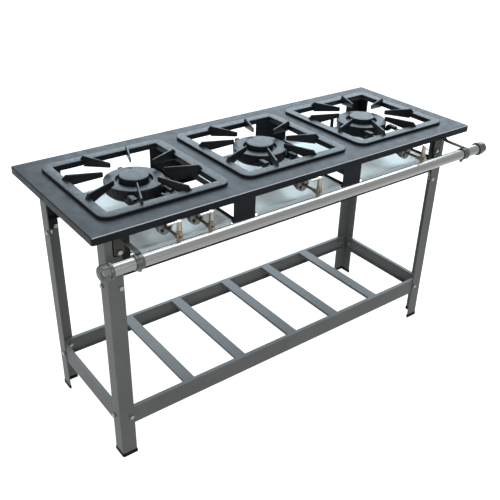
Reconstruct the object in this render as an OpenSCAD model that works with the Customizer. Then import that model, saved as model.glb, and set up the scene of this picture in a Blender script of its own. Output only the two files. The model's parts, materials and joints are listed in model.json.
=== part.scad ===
// Three-burner low-pressure gas range on a four-leg stand with an open lower shelf.
// Frame: X runs along the range, -Y is the tap side, +Z is up, feet on Z = 0.
// X = 0 is the middle of the range. Y = 0 is halfway between the gas pipe's
// front and the top plate's back edge, so the whole outline is centred.

/* [Overall] */
// Length of the top plate
top_len = 1438; // [1340:1:1700]
// Depth of the top plate
top_depth = 530; // [505:5:640]
// Height of the top plate's upper face above the floor
top_z = 810; // [650:5:950]
// Distance between neighbouring burners
burner_pitch = 457; // [420:1:540]

/* [Top plate] */
// Thickness of the folded sheet
sheet = 2; // [1.2:0.1:3]
// Height of the turned-down edge
lip = 22; // [16:1:34]
// Outer radius of the plate's corners
plate_r = 5; // [5:1:14]
// Outer radius of the fold
fold_r = 3; // [2.5:0.5:4]

/* [Trivets] */
// Side of the square trivet
trivet_w = 406; // [330:1:420]
// Outer corner radius of the trivet
trivet_r = 34; // [33:1:50]
// Width of the flat rim
rim_w = 32; // [24:1:32]
// Thickness of the rim
rim_t = 8; // [6:0.5:12]
// Wall of the locating collar under the rim
collar_t = 6; // [4:0.5:8]
// How far the collar reaches below the rim
collar_drop = 9; // [5:0.5:14]
// Gap between the collar and the edge of the plate's opening
collar_gap = 2; // [1:0.5:4]
// Number of pan-support fingers
fingers = 8; // [6:1:8]
// Thickness of a finger at the rim
finger_t = 7.5; // [5:0.5:10]
// Thickness of a finger at its tip
tip_t = 4.5; // [3:0.5:7]
// Height of the fingers above the rim
finger_rise = 13; // [8:1:20]
// Depth of a finger at its tip
tip_h = 15; // [9:0.5:18]
// Depth of a finger at the rim
root_h = 35; // [26:1:44]
// Free radius between the finger tips
tip_r = 86; // [70:1:110]

/* [Burners] */
// Radius of the burner's outer ring
ring_r = 88; // [76:1:100]
// Level of the ring's top below the plate's upper face
ring_drop = 6; // [2:1:20]
// Thickness of the ring casting
ring_t = 12; // [9:1:16]
// Outer radius of the dark groove around the cap
groove_r = 54.5; // [53:0.5:64]
// Radius of the central cap
cap_r = 43.5; // [43:0.5:48]
// Height of the cap above the ring
cap_rise = 13; // [8:1:16]
// Height of the bowl casting under the ring
bowl_h = 27; // [22:1:34]
// Wall of the castings
cast_t = 6; // [5:0.5:7]
// Radius of the bore in the middle of the bowl
bore_r = 38; // [34:0.5:40]
// Number of flame ports in the ring
ring_ports = 36; // [18:2:48]
// Number of flame ports in the cap
cap_ports = 20; // [10:2:28]
// Width of a flame port
port_w = 2.4; // [1.5:0.1:3]

/* [Mixing tubes] */
// Level of the tube axis below the bowl's underside
tube_drop = 9; // [9:1:12]
// Inner radius of the throat
throat_r = 10; // [8:0.5:11]
// Outer radius of the mouth
mouth_r = 20; // [18:0.5:22]
// How far the mouth stands in front of the legs
mouth_out = 8; // [4:1:14]
// Length of the bell
bell_len = 40; // [30:1:50]
// Sideways place of a single burner's tube
single_x = -8; // [-14:1:-2]
// Sideways place of the double burner's outer-ring tube
outer_x = -34; // [-40:1:-30]
// Sideways place of the double burner's centre tube
inner_x = 66; // [60:1:72]

/* [Air shutters] */
// Wall of the shutter cup
shutter_t = 2; // [1.5:0.5:3]
// Length of the shutter cup
shutter_len = 14; // [10:1:18]
// Number of air windows
air_windows = 3; // [2:1:4]
// Angle of one air window
air_angle = 50; // [30:5:55]

/* [Gas pipe] */
// Outer radius of the gas pipe
pipe_r = 16.85; // [13.4:0.05:21.2]
// Wall of the gas pipe
pipe_t = 3.2; // [2.6:0.1:4]
// How far the pipe axis stands in front of the top plate's edge
pipe_out = 60; // [50:1:90]
// Level of the pipe axis below the plate's upper face
pipe_drop = 65; // [56:1:69]
// Distance from the legs' outer faces to the pipe's ends
pipe_over = 55; // [45:1:80]
// Length of an end cap
cap_len = 36; // [30:1:44]
// Wall of an end cap
cap_t = 5.5; // [4:0.5:7]

/* [Taps] */
// Height of the handle's underside above the pipe axis
handle_z = 56; // [46:1:66]
// Length of the handle bar, from the spindle's axis
handle_len = 36; // [26:1:46]
// Radius of the spindle
spindle_r = 4; // [3:0.25:5]
// Radius of the tap's barrel
barrel_r = 9; // [8:0.5:11]
// Turn of the last tap's handle from the others
last_turn = 62; // [0:1:80]

/* [Pipe brackets] */
// Width of the bracket's pad, bolted to the corner post
pad_w = 30; // [24:1:32]
// Height of the pad
pad_h = 62; // [50:1:70]
// Outer radius of the pad's lower corners
pad_r = 9; // [4:1:11]
// Width of the strap that rises from the pad
strap_w = 13; // [10:1:16]
// Thickness of the pad and its strap
strap_t = 4; // [3:0.5:5]
// Wall of the clamp ring
clamp_t = 3.5; // [2.5:0.5:5]
// Length of the clamp ring
clamp_len = 22; // [20:1:28]

/* [Legs] */
// Distance from the middle to the legs' outer faces, along X
leg_x = 665; // [600:5:700]
// Distance from the middle to the legs' outer faces, along Y
leg_y = 217; // [214:1:240]
// Width of a leg's flange
leg_w = 47; // [38:1:60]
// Thickness of a leg
leg_t = 3; // [2:0.5:4]
// Outer radius of a leg's bend
bend_r = 5; // [4.5:0.5:8]
// Gap between a leg's top and the underside of the plate
leg_gap = 18; // [12:1:30]
// Width left of a front leg's flange beside the bracket
notch_keep = 21; // [18:1:24]
// Height of the notch in a front leg
notch_h = 84; // [78:1:96]
// Thickness of a foot's sole
sole = 4; // [3:0.5:6]
// Height of a foot's collar above the sole
foot_h = 8; // [5:1:14]
// Wall of a foot
foot_t = 1.5; // [1:0.25:1.75]

/* [Chassis] */
// Height of the front and rear panels
panel_h = 170; // [160:5:200]
// Height of the rail below the panel windows
rail_h = 46; // [40:1:75]
// Height of the strip above the panel windows
head_h = 19; // [14:1:26]
// Width of the flange turned inwards along the panel's foot
panel_flange = 16; // [10:1:24]
// Width of the posts between the windows
post_w = 78; // [60:1:90]
// Distance of the window posts' middles from the middle of the range
post_x = 216; // [210:1:250]
// Width of the rear panel's posts between its windows
rear_post_w = 140; // [78:1:150]
// Width of the strip between a corner post and the outer window
end_strip = 27; // [20:1:40]
// Radius of the window corners
window_r = 9; // [4:1:14]
// How far the corner posts reach below the panels
post_drop = 40; // [30:1:60]

/* [Drip trays] */
// Depth of a tray
tray_h = 15; // [10:1:20]
// Thickness of the tray's sheet
tray_t = 1; // [0.8:0.1:1.5]
// Width of the tray's flat rim
tray_rim = 9; // [6:1:14]
// How far the floor lies in from the rim
tray_slope = 16; // [8:1:30]
// Gap between a tray and its runners, at each side
tray_gap = 3; // [1:0.5:5]
// Height of the runner's web
runner_h = 20; // [16:1:24]
// How far the runner's web rises above the tray's rim
runner_rise = 7; // [3:1:9]

/* [Burner supports] */
// Sideways place of the two front arms, from the burner's middle
arm_x = 58; // [54:1:62]
// Sideways place of the rear strap, from the burner's middle
rear_arm_x = 60; // [50:1:70]
// Width of an arm
arm_w = 14; // [10:1:18]
// Thickness of an arm
arm_t = 4; // [3:0.5:5]
// Length of the bowl's lug that lies on an arm
lug_hold = 20; // [14:1:26]
// Thickness of the lug's end
lug_t = 6; // [4:0.5:8]
// Length of the cross bar under the bowl's foot
rest_len = 116; // [90:1:120]
// Width of the cross bar
rest_w = 16; // [12:1:20]

/* [Shelf] */
// Height of the shelf's upper face above the floor
shelf_z = 177.5; // [120:0.5:320]
// Height of a shelf rail
shelf_h = 60; // [40:1:90]
// Width of a shelf rail's flange
shelf_flange = 13; // [10:1:22]
// Sideways places of the slats
slat_x = [-413, -212, 11, 207, 406]; // [-540:1:540]
// Width of a slat
slat_w = 38; // [30:1:60]
// Height of a slat
slat_h = 10; // [8:1:20]

/* [Fasteners] */
// Radius of a bolt's shank
bolt_r = 4; // [3:0.5:4]
// Width of a bolt head across its flats
bolt_af = 13; // [10:1:13]
// Height of a bolt head
head_t = 5.3; // [4:0.1:6]

/* [Hidden] */

$fn = 48;
eps = 0.01;
rest_gap = 0.3;      // loose pieces sit this far above their seats
run_gap = 0.05;      // radial clearance of a turning fit
hole_gap = 0.25;     // radial clearance of a bolt in its hole

// Where the gas pipe lies, and the shift that centres the whole outline
pipe_y = -top_depth / 2 - pipe_out;
pipe_z = top_z - pipe_drop;
pipe_end = leg_x + pipe_over;
cap_out_r = pipe_r + run_gap + cap_t;
row_y = -(pipe_y - cap_out_r + top_depth / 2) / 2;

// Levels of the sheet metal
under_z = top_z - sheet;
panel_foot = top_z - panel_h;
window_low = panel_foot + rail_h;
window_top = under_z - head_h;
leg_top = under_z - leg_gap;
post_low = panel_foot - post_drop;

// Inner faces of the stacked sheets behind a leg's flange
post_face_x = leg_x - leg_t;
post_face_y = leg_y - leg_t;
panel_face = post_face_y - sheet;
panel_back = panel_face - sheet;
post_in = leg_x - leg_w;
post_bend = bend_r - leg_t + 1;
panel_x = post_face_x - post_bend;

// Bays between posts of width w: middle of each and its width, left to right
bay_out = post_in - end_strip;
function bay_middles(w) = [for (s = [-1, 0, 1]) s * (bay_out + post_x + w / 2) / 2];
function bay_widths(w) = let (outer = bay_out - post_x - w / 2) [outer, 2 * post_x - w, outer];
bay_x = bay_middles(post_w);
bay_w = bay_widths(post_w);
burner_x = [-burner_pitch, 0, burner_pitch];

// Trivets and burners
rim_z = top_z + rest_gap;
finger_top = rim_z + rim_t + finger_rise;
collar_out = trivet_w / 2 - trivet_r + (trivet_r - rim_w) + collar_t;
plate_hole = 2 * (collar_out + collar_gap);
ring_top = top_z - ring_drop;
ring_low = ring_top - ring_t;
bowl_low = ring_low - bowl_h;
bowl_r = ring_r - 1;
hub_r = bore_r + cast_t + 1;
hub_top = ring_low + 4;
groove_z = hub_top - 1;
port_h = 3;

// Mixing tubes, one for each tap
tube_z = bowl_low - tube_drop;
mouth_y = -leg_y - mouth_out;
tube_out_r = throat_r + 4;
bell_wall = 3.5;
tube_end_wall = 6;
knee_y = -ring_r - 34;
knee_r = 34;
tap_x = [
    burner_x[0] + outer_x, burner_x[0] + inner_x,
    burner_x[1] + single_x, burner_x[2] + single_x
];

// Taps: the barrel stands behind the pipe, on the mixing tube's axis
barrel_y = pipe_y + pipe_r + barrel_r + 1;
stub_angle = atan2(tube_z - pipe_z, barrel_y - pipe_y);
stub_r = 6;
gland_h = 7;
barrel_low = tube_z - 9;
barrel_top = tube_z + 14;
boss_r = 6.5;
boss_end = barrel_y + barrel_r + 8;
nose_r = 4;
nose_end = mouth_y + 4;

// Pipe brackets
clamp_in = pipe_r + run_gap;
clamp_out = clamp_in + clamp_t;
strap_x = leg_x - notch_keep - 4 - pad_w / 2;
strap_face = post_face_y + strap_t / 2;
strap_end = pipe_z + clamp_out + run_gap + strap_t / 2;
crest_r = 14;
crest_y = -strap_face - crest_r;
crest_z = leg_top - 24;
crest_turn = 135;
pad_low = leg_top - notch_h + 3;
pad_bolt = pad_low + 10;

// Drip trays: the rim slides on the runners' ledges, its front flush with the front panel
tray_low = window_low + 1;
tray_top = tray_low + tray_h;
ledge_top = tray_top - tray_t - rest_gap;
ledge_w = tray_gap + tray_rim - 3;
runner_t = 2;
runner_low = tray_top + runner_rise - runner_h;
tray_front = panel_face;
tray_back = panel_back - 8;

// Burner supports: the lugs start clear of the ring and lie on the front arms,
// and the rear strap runs above the drip tray to a cross bar under the bowl
ring_gap = 2;
lug_y = sqrt(pow(ring_r + ring_gap, 2) - pow(arm_x - arm_w / 2, 2));
lug_end = lug_y + 18 + lug_hold;
arm_top = ring_low;
tab_top = under_z - 2;
rest_y = 30;
run_low = bowl_low - 20;
rear_tab_low = window_low - 30;

// Shelf and fasteners
shelf_face_x = leg_x - leg_t;
shelf_face_y = leg_y - leg_t;
slat_end = shelf_face_y - shelf_flange;
hole_r = bolt_r + hole_gap;
nut_t = 6;
flange_mid = (leg_w + leg_t) / 2 + 12;
top_bolt_z = post_low + 9;
shelf_bolt_z = shelf_z - shelf_h / 2;

black_paint = [0.13, 0.14, 0.15];
cast_black = [0.16, 0.17, 0.18];
grey_paint = [0.42, 0.43, 0.42];
bracket_paint = [0.26, 0.25, 0.22];
zinc = [0.70, 0.74, 0.75];
steel = [0.62, 0.64, 0.64];
brass = [0.72, 0.58, 0.36];
plastic = [0.05, 0.05, 0.05];

// Moves a piece from the stand's middle to the row's centred origin
module placed() translate([0, row_y, 0]) children();

// Points along an arc, from angle a0 to a1
function arc(c, r, a0, a1, n = 8) =
    [for (i = [0 : n]) c + r * [cos(a0 + (a1 - a0) * i / n), sin(a0 + (a1 - a0) * i / n)]];

// Flat rounded rectangle with true arcs
module rounded_rect(w, d, r) {
    square([w - 2 * r, d], center = true);
    square([w, d - 2 * r], center = true);
    for (x = [-1, 1], y = [-1, 1])
        translate([x * (w / 2 - r), y * (d / 2 - r)]) circle(r);
}

// Carries a profile around a rounded rectangle. The profile's X is the
// distance outwards from the lines through the corner centres.
module around(w, d, r) {
    for (a = [0, 180]) rotate([0, 0, a]) {
        translate([0, d / 2 - r, 0]) rotate([90, 0, 90])
            linear_extrude(w - 2 * r, center = true) children();
        translate([w / 2 - r, 0, 0]) rotate([90, 0, 0])
            linear_extrude(d - 2 * r, center = true) children();
        translate([w / 2 - r, d / 2 - r, 0]) rotate_extrude(angle = 90) children();
        translate([-w / 2 + r, d / 2 - r, 0]) rotate([0, 0, 90])
            rotate_extrude(angle = 90) children();
    }
}

// Solid with a rectangular top and foot and four sloping sides
module frustum(top, foot, h) {
    intersection() {
        rotate([90, 0, 0]) linear_extrude(max(top[1], foot[1]) + 2, center = true)
            polygon([[-foot[0] / 2, 0], [foot[0] / 2, 0], [top[0] / 2, h], [-top[0] / 2, h]]);
        rotate([90, 0, 90]) linear_extrude(max(top[0], foot[0]) + 2, center = true)
            polygon([[-foot[1] / 2, 0], [foot[1] / 2, 0], [top[1] / 2, h], [-top[1] / 2, h]]);
    }
}

// Hexagonal bolt with its shank along +Z, head below the origin
module bolt(grip) {
    rotate([180, 0, 0]) cylinder(h = head_t, d = bolt_af / cos(30), $fn = 6);
    translate([0, 0, -eps]) cylinder(h = grip + nut_t + 2, r = bolt_r);
    translate([0, 0, grip]) cylinder(h = nut_t, d = bolt_af / cos(30), $fn = 6);
}

/* ---------- top plate and trivets ---------- */

module plate_edge() {
    polygon(concat(
        [[0, under_z]],
        arc([plate_r - fold_r, top_z - fold_r], fold_r - sheet, 90, 0, 4),
        [[plate_r - sheet, top_z - lip], [plate_r, top_z - lip]],
        arc([plate_r - fold_r, top_z - fold_r], fold_r, 0, 90, 6),
        [[0, top_z]]
    ));
}

module top_plate() color(black_paint) placed() difference() {
    union() {
        around(top_len, top_depth, plate_r) plate_edge();
        translate([0, 0, under_z]) linear_extrude(sheet)
            square([top_len - 2 * plate_r + eps, top_depth - 2 * plate_r + eps], center = true);
    }
    for (x = burner_x) translate([x, 0, under_z - 1]) linear_extrude(sheet + 2)
        rounded_rect(plate_hole, plate_hole, trivet_r - rim_w + collar_t + collar_gap);
}

module rim_profile() {
    inner = trivet_r - rim_w;
    polygon([
        [inner, -collar_drop], [inner + collar_t, -collar_drop], [inner + collar_t, 0],
        [trivet_r, 0], [trivet_r, rim_t - 1.5], [trivet_r - 1.5, rim_t],
        [inner + 3, rim_t], [inner, rim_t - 3]
    ]);
}

// One pan-support finger: thin and shallow at its tip, deep where it meets the collar
module finger() {
    foot_r = (collar_out - collar_t / 2) / cos(180 / fingers);
    crown_r = foot_r + 1;
    top = rim_t + finger_rise;
    end_r = crown_r + 12;
    intersection() {
        rotate([90, 0, 0]) linear_extrude(finger_t + 2, center = true) polygon([
            [tip_r, top - tip_h], [tip_r, top - 2], [tip_r + 2, top], [crown_r, top],
            [end_r, rim_t - eps], [foot_r, rim_t - 1], [foot_r, top - root_h]
        ]);
        translate([0, 0, top - root_h - 1]) linear_extrude(root_h + 2) polygon([
            [tip_r, -tip_t / 2], [end_r, -finger_t / 2], [end_r, finger_t / 2], [tip_r, tip_t / 2]
        ]);
    }
}

module trivet(i) color(cast_black) placed() translate([burner_x[i], 0, rim_z]) {
    around(trivet_w, trivet_w, trivet_r) rim_profile();
    for (k = [0 : fingers - 1]) rotate([0, 0, (k + 0.5) * 360 / fingers]) finger();
}

/* ---------- burners ---------- */

// Outer skin of a mixing tube, from the bowl at Z = 0 to the mouth at Z = len
module tube_skin(len) rotate_extrude() polygon([
    [0, 0], [tube_out_r, 0], [tube_out_r, len - bell_len],
    [mouth_r, len - shutter_len - 4], [mouth_r, len], [0, len]
]);

// Gas way inside a mixing tube, left closed at the mouth by a slotted wall
module tube_way(len) {
    wide = mouth_r - bell_wall;
    rotate_extrude() polygon([
        [0, 0], [throat_r, 0], [throat_r, len - bell_len], [wide, len - shutter_len - 4],
        [wide, len - 3], [0, len - 3]
    ]);
    translate([0, 0, len - 4]) cylinder(h = 6, r = nose_r + 1);
    for (k = [0 : air_windows - 1]) rotate([0, 0, k * 360 / air_windows])
        translate([0, 0, len - 4]) rotate_extrude(angle = air_angle)
            translate([nose_r + 3, 0]) square([wide - nose_r - 4, 6]);
}

// Stands a tube along -Y at sideways place x, its inner end at y0
module tube_place(x, y0) translate([x, y0, tube_z]) rotate([90, 0, 0]) children();

// Bend and straight end of a tube that turns at knee_y towards the burner's
// middle. The bend's angle is the one whose tangent passes through the middle.
// The straight end is a little wider and starts inside the bend, like a socket,
// and collar is how far the collar over that joint stands out.
module bent_reach(x, r, short = 0, collar = 0) {
    centre = [x - knee_r, knee_y];
    turn = atan2(centre[1], centre[0]) + acos(-knee_r / norm(centre));
    knee = centre + knee_r * [cos(turn), sin(turn)];
    translate([centre[0], centre[1], tube_z])
        rotate_extrude(angle = turn) translate([knee_r, 0]) circle(r);
    translate([knee[0], knee[1], tube_z]) rotate([0, 0, turn]) rotate([-90, 0, 0]) {
        translate([0, 0, -1]) cylinder(h = norm(knee) - short + 1, r = r + 0.3);
        if (collar > 0) translate([0, 0, -4]) cylinder(h = 8, r = r + collar);
    }
}

module bowl_profile() polygon([
    [0, 0], [bowl_r - 9, 0], [bowl_r - 1, 8], [bowl_r, bowl_h], [bowl_r - cast_t, bowl_h],
    [bowl_r - cast_t - 1, cast_t], [hub_r, cast_t], [hub_r, bowl_h + hub_top - ring_low],
    [bore_r, bowl_h + hub_top - ring_low], [bore_r, cast_t], [0, cast_t]
]);

// Lugs that rise from the bowl's wall and lie on the two front arms
module lugs() difference() {
    for (s = [-1, 1]) translate([s * arm_x, 0, ring_low])
        rotate([90, 0, 90]) linear_extrude(arm_w, center = true) polygon([
            [-bore_r / 2, -18], [-lug_y - 6, -18], [-lug_y - 14, -10], [-lug_y - 14, 0],
            [-lug_end, 0], [-lug_end, lug_t], [-lug_y - 6, lug_t], [-lug_y, 0],
            [-lug_y, -8], [-bore_r / 2, -8]
        ]);
    translate([0, 0, bowl_low]) cylinder(h = bowl_h + 1, r = bowl_r - 3, $fn = 72);
}

// Gas port from a tube up through the bowl's floor
module port(x, y) translate([x, y, tube_z])
    cylinder(h = tube_drop + cast_t + 1, r = throat_r - 2);

// outer: place of the tube that feeds the ring, inner: place of a bent tube
// that feeds the cap. Without one, the ring's tube feeds both.
module burner_body(i, outer, inner = undef) color(cast_black) placed()
    translate([burner_x[i], 0, 0]) difference() {
        trough_r = (bowl_r - cast_t + hub_r) / 2;
        union() {
            translate([0, 0, bowl_low]) rotate_extrude($fn = 72) bowl_profile();
            lugs();
            tube_place(outer, tube_end_wall) tube_skin(tube_end_wall - mouth_y);
            if (inner != undef) {
                tube_place(inner, knee_y) tube_skin(knee_y - mouth_y);
                bent_reach(inner, tube_out_r, collar = 1.5);
            }
        }
        tube_place(outer, 0) tube_way(-mouth_y);
        port(outer, -sqrt(trough_r * trough_r - outer * outer));
        if (inner == undef) port(outer, -throat_r);
        else {
            tube_place(inner, knee_y) tube_way(knee_y - mouth_y);
            bent_reach(inner, throat_r, tube_end_wall);
            port(0, -throat_r);
        }
    }

module burner_ring(i) color(cast_black) placed() translate([burner_x[i], 0, 0]) difference() {
    translate([0, 0, ring_low]) rotate_extrude($fn = 72) polygon([
        [hub_r + 1, 0], [ring_r - 1, 0], [ring_r, 1], [ring_r, ring_t - 2.5],
        [ring_r - 2.5, ring_t], [groove_r, ring_t], [groove_r - 2, groove_z - ring_low],
        [hub_r + 1, groove_z - ring_low]
    ]);
    for (k = [0 : ring_ports - 1]) rotate([0, 0, k * 360 / ring_ports])
        translate([ring_r - cast_t - 4, -port_w / 2, ring_low - 1])
            cube([cast_t + 6, port_w, port_h + 1]);
}

module burner_cap(i) color(cast_black) placed() translate([burner_x[i], 0, hub_top + rest_gap])
    difference() {
        h = ring_top + cap_rise - hub_top - rest_gap;
        rotate_extrude($fn = 72) polygon([
            [0, h - 5], [bore_r - 4, h - 5], [bore_r - 4, -8], [bore_r - 1, -8],
            [bore_r - 1, 0], [cap_r - 1, 0], [cap_r, 1], [cap_r, h - 2], [cap_r - 2, h], [0, h]
        ]);
        for (k = [0 : cap_ports - 1]) rotate([0, 0, k * 360 / cap_ports])
            translate([bore_r - 6, -port_w / 2, -1]) cube([cap_r, port_w, port_h + 1]);
    }

// Two arms on the front panel's head strip, and a rear strap with a cross bar
module burner_bars(i) color(black_paint) placed() translate([burner_x[i], 0, 0]) {
    for (s = [-1, 1]) translate([s * arm_x, 0, 0])
        rotate([90, 0, 90]) linear_extrude(arm_w, center = true) polygon([
            [-panel_back, arm_top - arm_t], [lug_hold - lug_end, arm_top - arm_t],
            [lug_hold - lug_end, arm_top], [arm_t - panel_back, arm_top],
            [arm_t - panel_back, tab_top], [-panel_back, tab_top]
        ]);
    translate([rear_arm_x, 0, 0]) rotate([90, 0, 90]) linear_extrude(arm_w, center = true) polygon([
        [panel_back, rear_tab_low], [panel_back, run_low + arm_t], [rest_y + arm_t, run_low + arm_t],
        [rest_y + arm_t, bowl_low], [rest_y, bowl_low], [rest_y, run_low],
        [panel_back - arm_t, run_low], [panel_back - arm_t, rear_tab_low]
    ]);
    translate([rear_arm_x + arm_w / 2 - rest_len, rest_y, bowl_low - arm_t])
        cube([rest_len, rest_w, arm_t]);
}

/* ---------- chassis, trays ---------- */

// Folded panel with a window in each bay, for posts of width w
module panel(w) difference() {
    rotate([90, 0, 90]) linear_extrude(2 * panel_x, center = true) polygon([
        [panel_face, panel_foot], [panel_face, under_z], [panel_back, under_z],
        [panel_back, panel_foot + sheet], [panel_face - panel_flange, panel_foot + sheet],
        [panel_face - panel_flange, panel_foot]
    ]);
    for (i = [0 : 2]) translate([bay_middles(w)[i], panel_face + 1, (window_low + window_top) / 2])
        rotate([90, 0, 0]) linear_extrude(sheet + 2)
            rounded_rect(bay_widths(w)[i], window_top - window_low, window_r);
}

module chassis_front() color(black_paint) placed() difference() {
    mirror([0, 1, 0]) panel(post_w);
    for (sx = [-1, 1]) pad_hole(sx);
}

module chassis_rear() color(black_paint) placed() panel(rear_post_w);

// Black angles nested inside the legs' upper ends
module corner_posts() color(black_paint) placed()
    for (sx = [-1, 1], sy = [-1, 1]) difference() {
        at_corner(sx, sy) translate([leg_t, leg_t, post_low])
            linear_extrude(under_z - post_low) angle_section(post_face_x - post_in, sheet, post_bend);
        leg_holes(sx, sy, [top_bolt_z], leg_t + sheet);
        if (sy < 0) pad_hole(sx);
    }

module pad_hole(sx) translate([sx * strap_x, -leg_y - 2, pad_bolt]) rotate([-90, 0, 0])
    cylinder(h = 12, r = hole_r);

// Angles that carry a tray's rims, on both sides of its bay
module tray_runners(i) color(black_paint) placed() for (s = [-1, 1])
    translate([bay_x[i], 0, 0]) mirror([s < 0 ? 1 : 0, 0, 0])
        rotate([90, 0, 0]) linear_extrude(2 * panel_back, center = true) polygon([
            [bay_w[i] / 2 + runner_t, runner_low], [bay_w[i] / 2 + runner_t, runner_low + runner_h],
            [bay_w[i] / 2, runner_low + runner_h], [bay_w[i] / 2, ledge_top],
            [bay_w[i] / 2 - ledge_w, ledge_top], [bay_w[i] / 2 - ledge_w, ledge_top - runner_t],
            [bay_w[i] / 2, ledge_top - runner_t], [bay_w[i] / 2, runner_low]
        ]);

module drip_tray(i) color(zinc) placed()
    translate([bay_x[i], (tray_back - tray_front) / 2, tray_low]) {
        rim = [bay_w[i] - 2 * tray_gap, tray_front + tray_back];
        dish = rim - 2 * [tray_rim, tray_rim];
        slope = [tray_slope, tray_slope];
        wall = [tray_t, tray_t];
        difference() {
            union() {
                frustum(dish, dish - 2 * slope, tray_h);
                translate([0, 0, tray_h - tray_t]) linear_extrude(tray_t)
                    rounded_rect(rim[0], rim[1], 6);
            }
            translate([0, 0, tray_t])
                frustum(dish - 2 * wall, dish - 2 * slope - 2 * wall, tray_h);
        }
    }

/* ---------- legs and feet ---------- */

// Angle section bent to outer radius r, its corner at the origin, grown outwards by g
module angle_section(w, t, r, g = 0) {
    translate([r, -g]) square([w + g - r, t + 2 * g]);
    translate([-g, r]) square([t + 2 * g, w + g - r]);
    difference() {
        intersection() {
            translate([r, r]) circle(r + g);
            translate([-g, -g]) square(r + g);
        }
        translate([r, r]) circle(r - t - g);
    }
}

// Puts a piece at a corner of the stand, its X and Y pointing inwards
module at_corner(sx, sy) translate([sx * leg_x, sy * leg_y, 0])
    mirror([sx > 0 ? 1 : 0, 0, 0]) mirror([0, sy > 0 ? 1 : 0, 0]) children();

// Bolt holes through both flanges of a leg at the given heights
module leg_holes(sx, sy, heights, deep) at_corner(sx, sy) for (z = heights) {
    translate([flange_mid, -1, z]) rotate([-90, 0, 0]) cylinder(h = deep + 2, r = hole_r);
    translate([-1, flange_mid, z]) rotate([0, 90, 0]) cylinder(h = deep + 2, r = hole_r);
}

module leg(sx, sy) color(grey_paint) placed() difference() {
    at_corner(sx, sy) translate([0, 0, sole]) linear_extrude(leg_top - sole)
        angle_section(leg_w, leg_t, bend_r);
    leg_holes(sx, sy, [top_bolt_z, shelf_bolt_z], leg_t);
    if (sy < 0) at_corner(sx, sy) translate([notch_keep, leg_t + 1, leg_top - notch_h])
        rotate([90, 0, 0]) linear_extrude(leg_t + 2) {
            translate([8, 0]) square([leg_w, notch_h + 1]);
            translate([0, 8]) square([leg_w, notch_h + 1]);
            translate([8, 8]) circle(8);
        }
}

module foot(sx, sy) color(plastic) placed() at_corner(sx, sy) difference() {
    linear_extrude(sole + foot_h) angle_section(leg_w, leg_t, bend_r, foot_t);
    translate([0, 0, sole]) linear_extrude(foot_h + 1) angle_section(leg_w, leg_t, bend_r, 0);
}

/* ---------- shelf ---------- */

// Channel section: web at the outside, flanges turned inwards
module rail_section() translate([0, shelf_z - shelf_h]) difference() {
    translate([-shelf_flange, 0]) square([shelf_flange, shelf_h]);
    translate([-shelf_flange - 1, sheet]) square([shelf_flange + 1 - sheet, shelf_h - 2 * sheet]);
}

module long_rail(sy) color(grey_paint) placed() difference() {
    mirror([0, sy < 0 ? 1 : 0, 0]) translate([0, shelf_face_y, 0]) rotate([90, 0, 90])
        linear_extrude(2 * (shelf_face_x - bend_r + leg_t), center = true) rail_section();
    for (sx = [-1, 1]) leg_holes(sx, sy, [shelf_bolt_z], leg_t + sheet);
}

module side_rail(sx) color(grey_paint) placed() difference() {
    mirror([sx < 0 ? 1 : 0, 0, 0]) translate([shelf_face_x, 0, 0]) rotate([90, 0, 0])
        linear_extrude(2 * slat_end, center = true) rail_section();
    for (sy = [-1, 1]) leg_holes(sx, sy, [shelf_bolt_z], leg_t + sheet);
}

module shelf_slats() color(grey_paint) placed()
    for (x = slat_x) translate([x, 0, shelf_z - slat_h])
        rotate([90, 0, 0]) linear_extrude(2 * slat_end, center = true) difference() {
            translate([-slat_w / 2, 0]) square([slat_w, slat_h]);
            translate([-slat_w / 2 + sheet, -1]) square([slat_w - 2 * sheet, slat_h + 1 - sheet]);
        }

/* ---------- gas pipe, brackets, taps ---------- */

module stub(x, r, far) translate([x, pipe_y, pipe_z]) rotate([stub_angle - 90, 0, 0])
    translate([0, 0, pipe_r - pipe_t]) cylinder(h = far, r = r);

module gas_pipe() color(steel) placed() difference() {
    translate([0, pipe_y, pipe_z]) rotate([0, 90, 0])
        cylinder(h = 2 * pipe_end, r = pipe_r, center = true, $fn = 64);
    translate([0, pipe_y, pipe_z]) rotate([0, 90, 0])
        cylinder(h = 2 * pipe_end + 2, r = pipe_r - pipe_t, center = true, $fn = 64);
    for (x = tap_x) stub(x, stub_r + run_gap, pipe_t + 3);
}

// Malleable cap: bead at its mouth, hexagonal body and a low dome
module pipe_cap(s) color(steel) placed() translate([s * (pipe_end - 20), pipe_y, pipe_z])
    rotate([0, s * 90, 0]) difference() {
        union() {
            cylinder(h = 8, r = cap_out_r, $fn = 64);
            intersection() {
                rotate_extrude($fn = 64) polygon([
                    [0, 0], [cap_out_r, 0], [cap_out_r, cap_len - 8], [cap_out_r - 5, cap_len - 2],
                    [cap_out_r - 12, cap_len], [0, cap_len]
                ]);
                rotate([0, 0, 15]) cylinder(h = cap_len, r = cap_out_r + 0.8, $fn = 6);
            }
        }
        translate([0, 0, -1]) cylinder(h = 21, r = pipe_r + run_gap, $fn = 64);
    }

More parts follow.
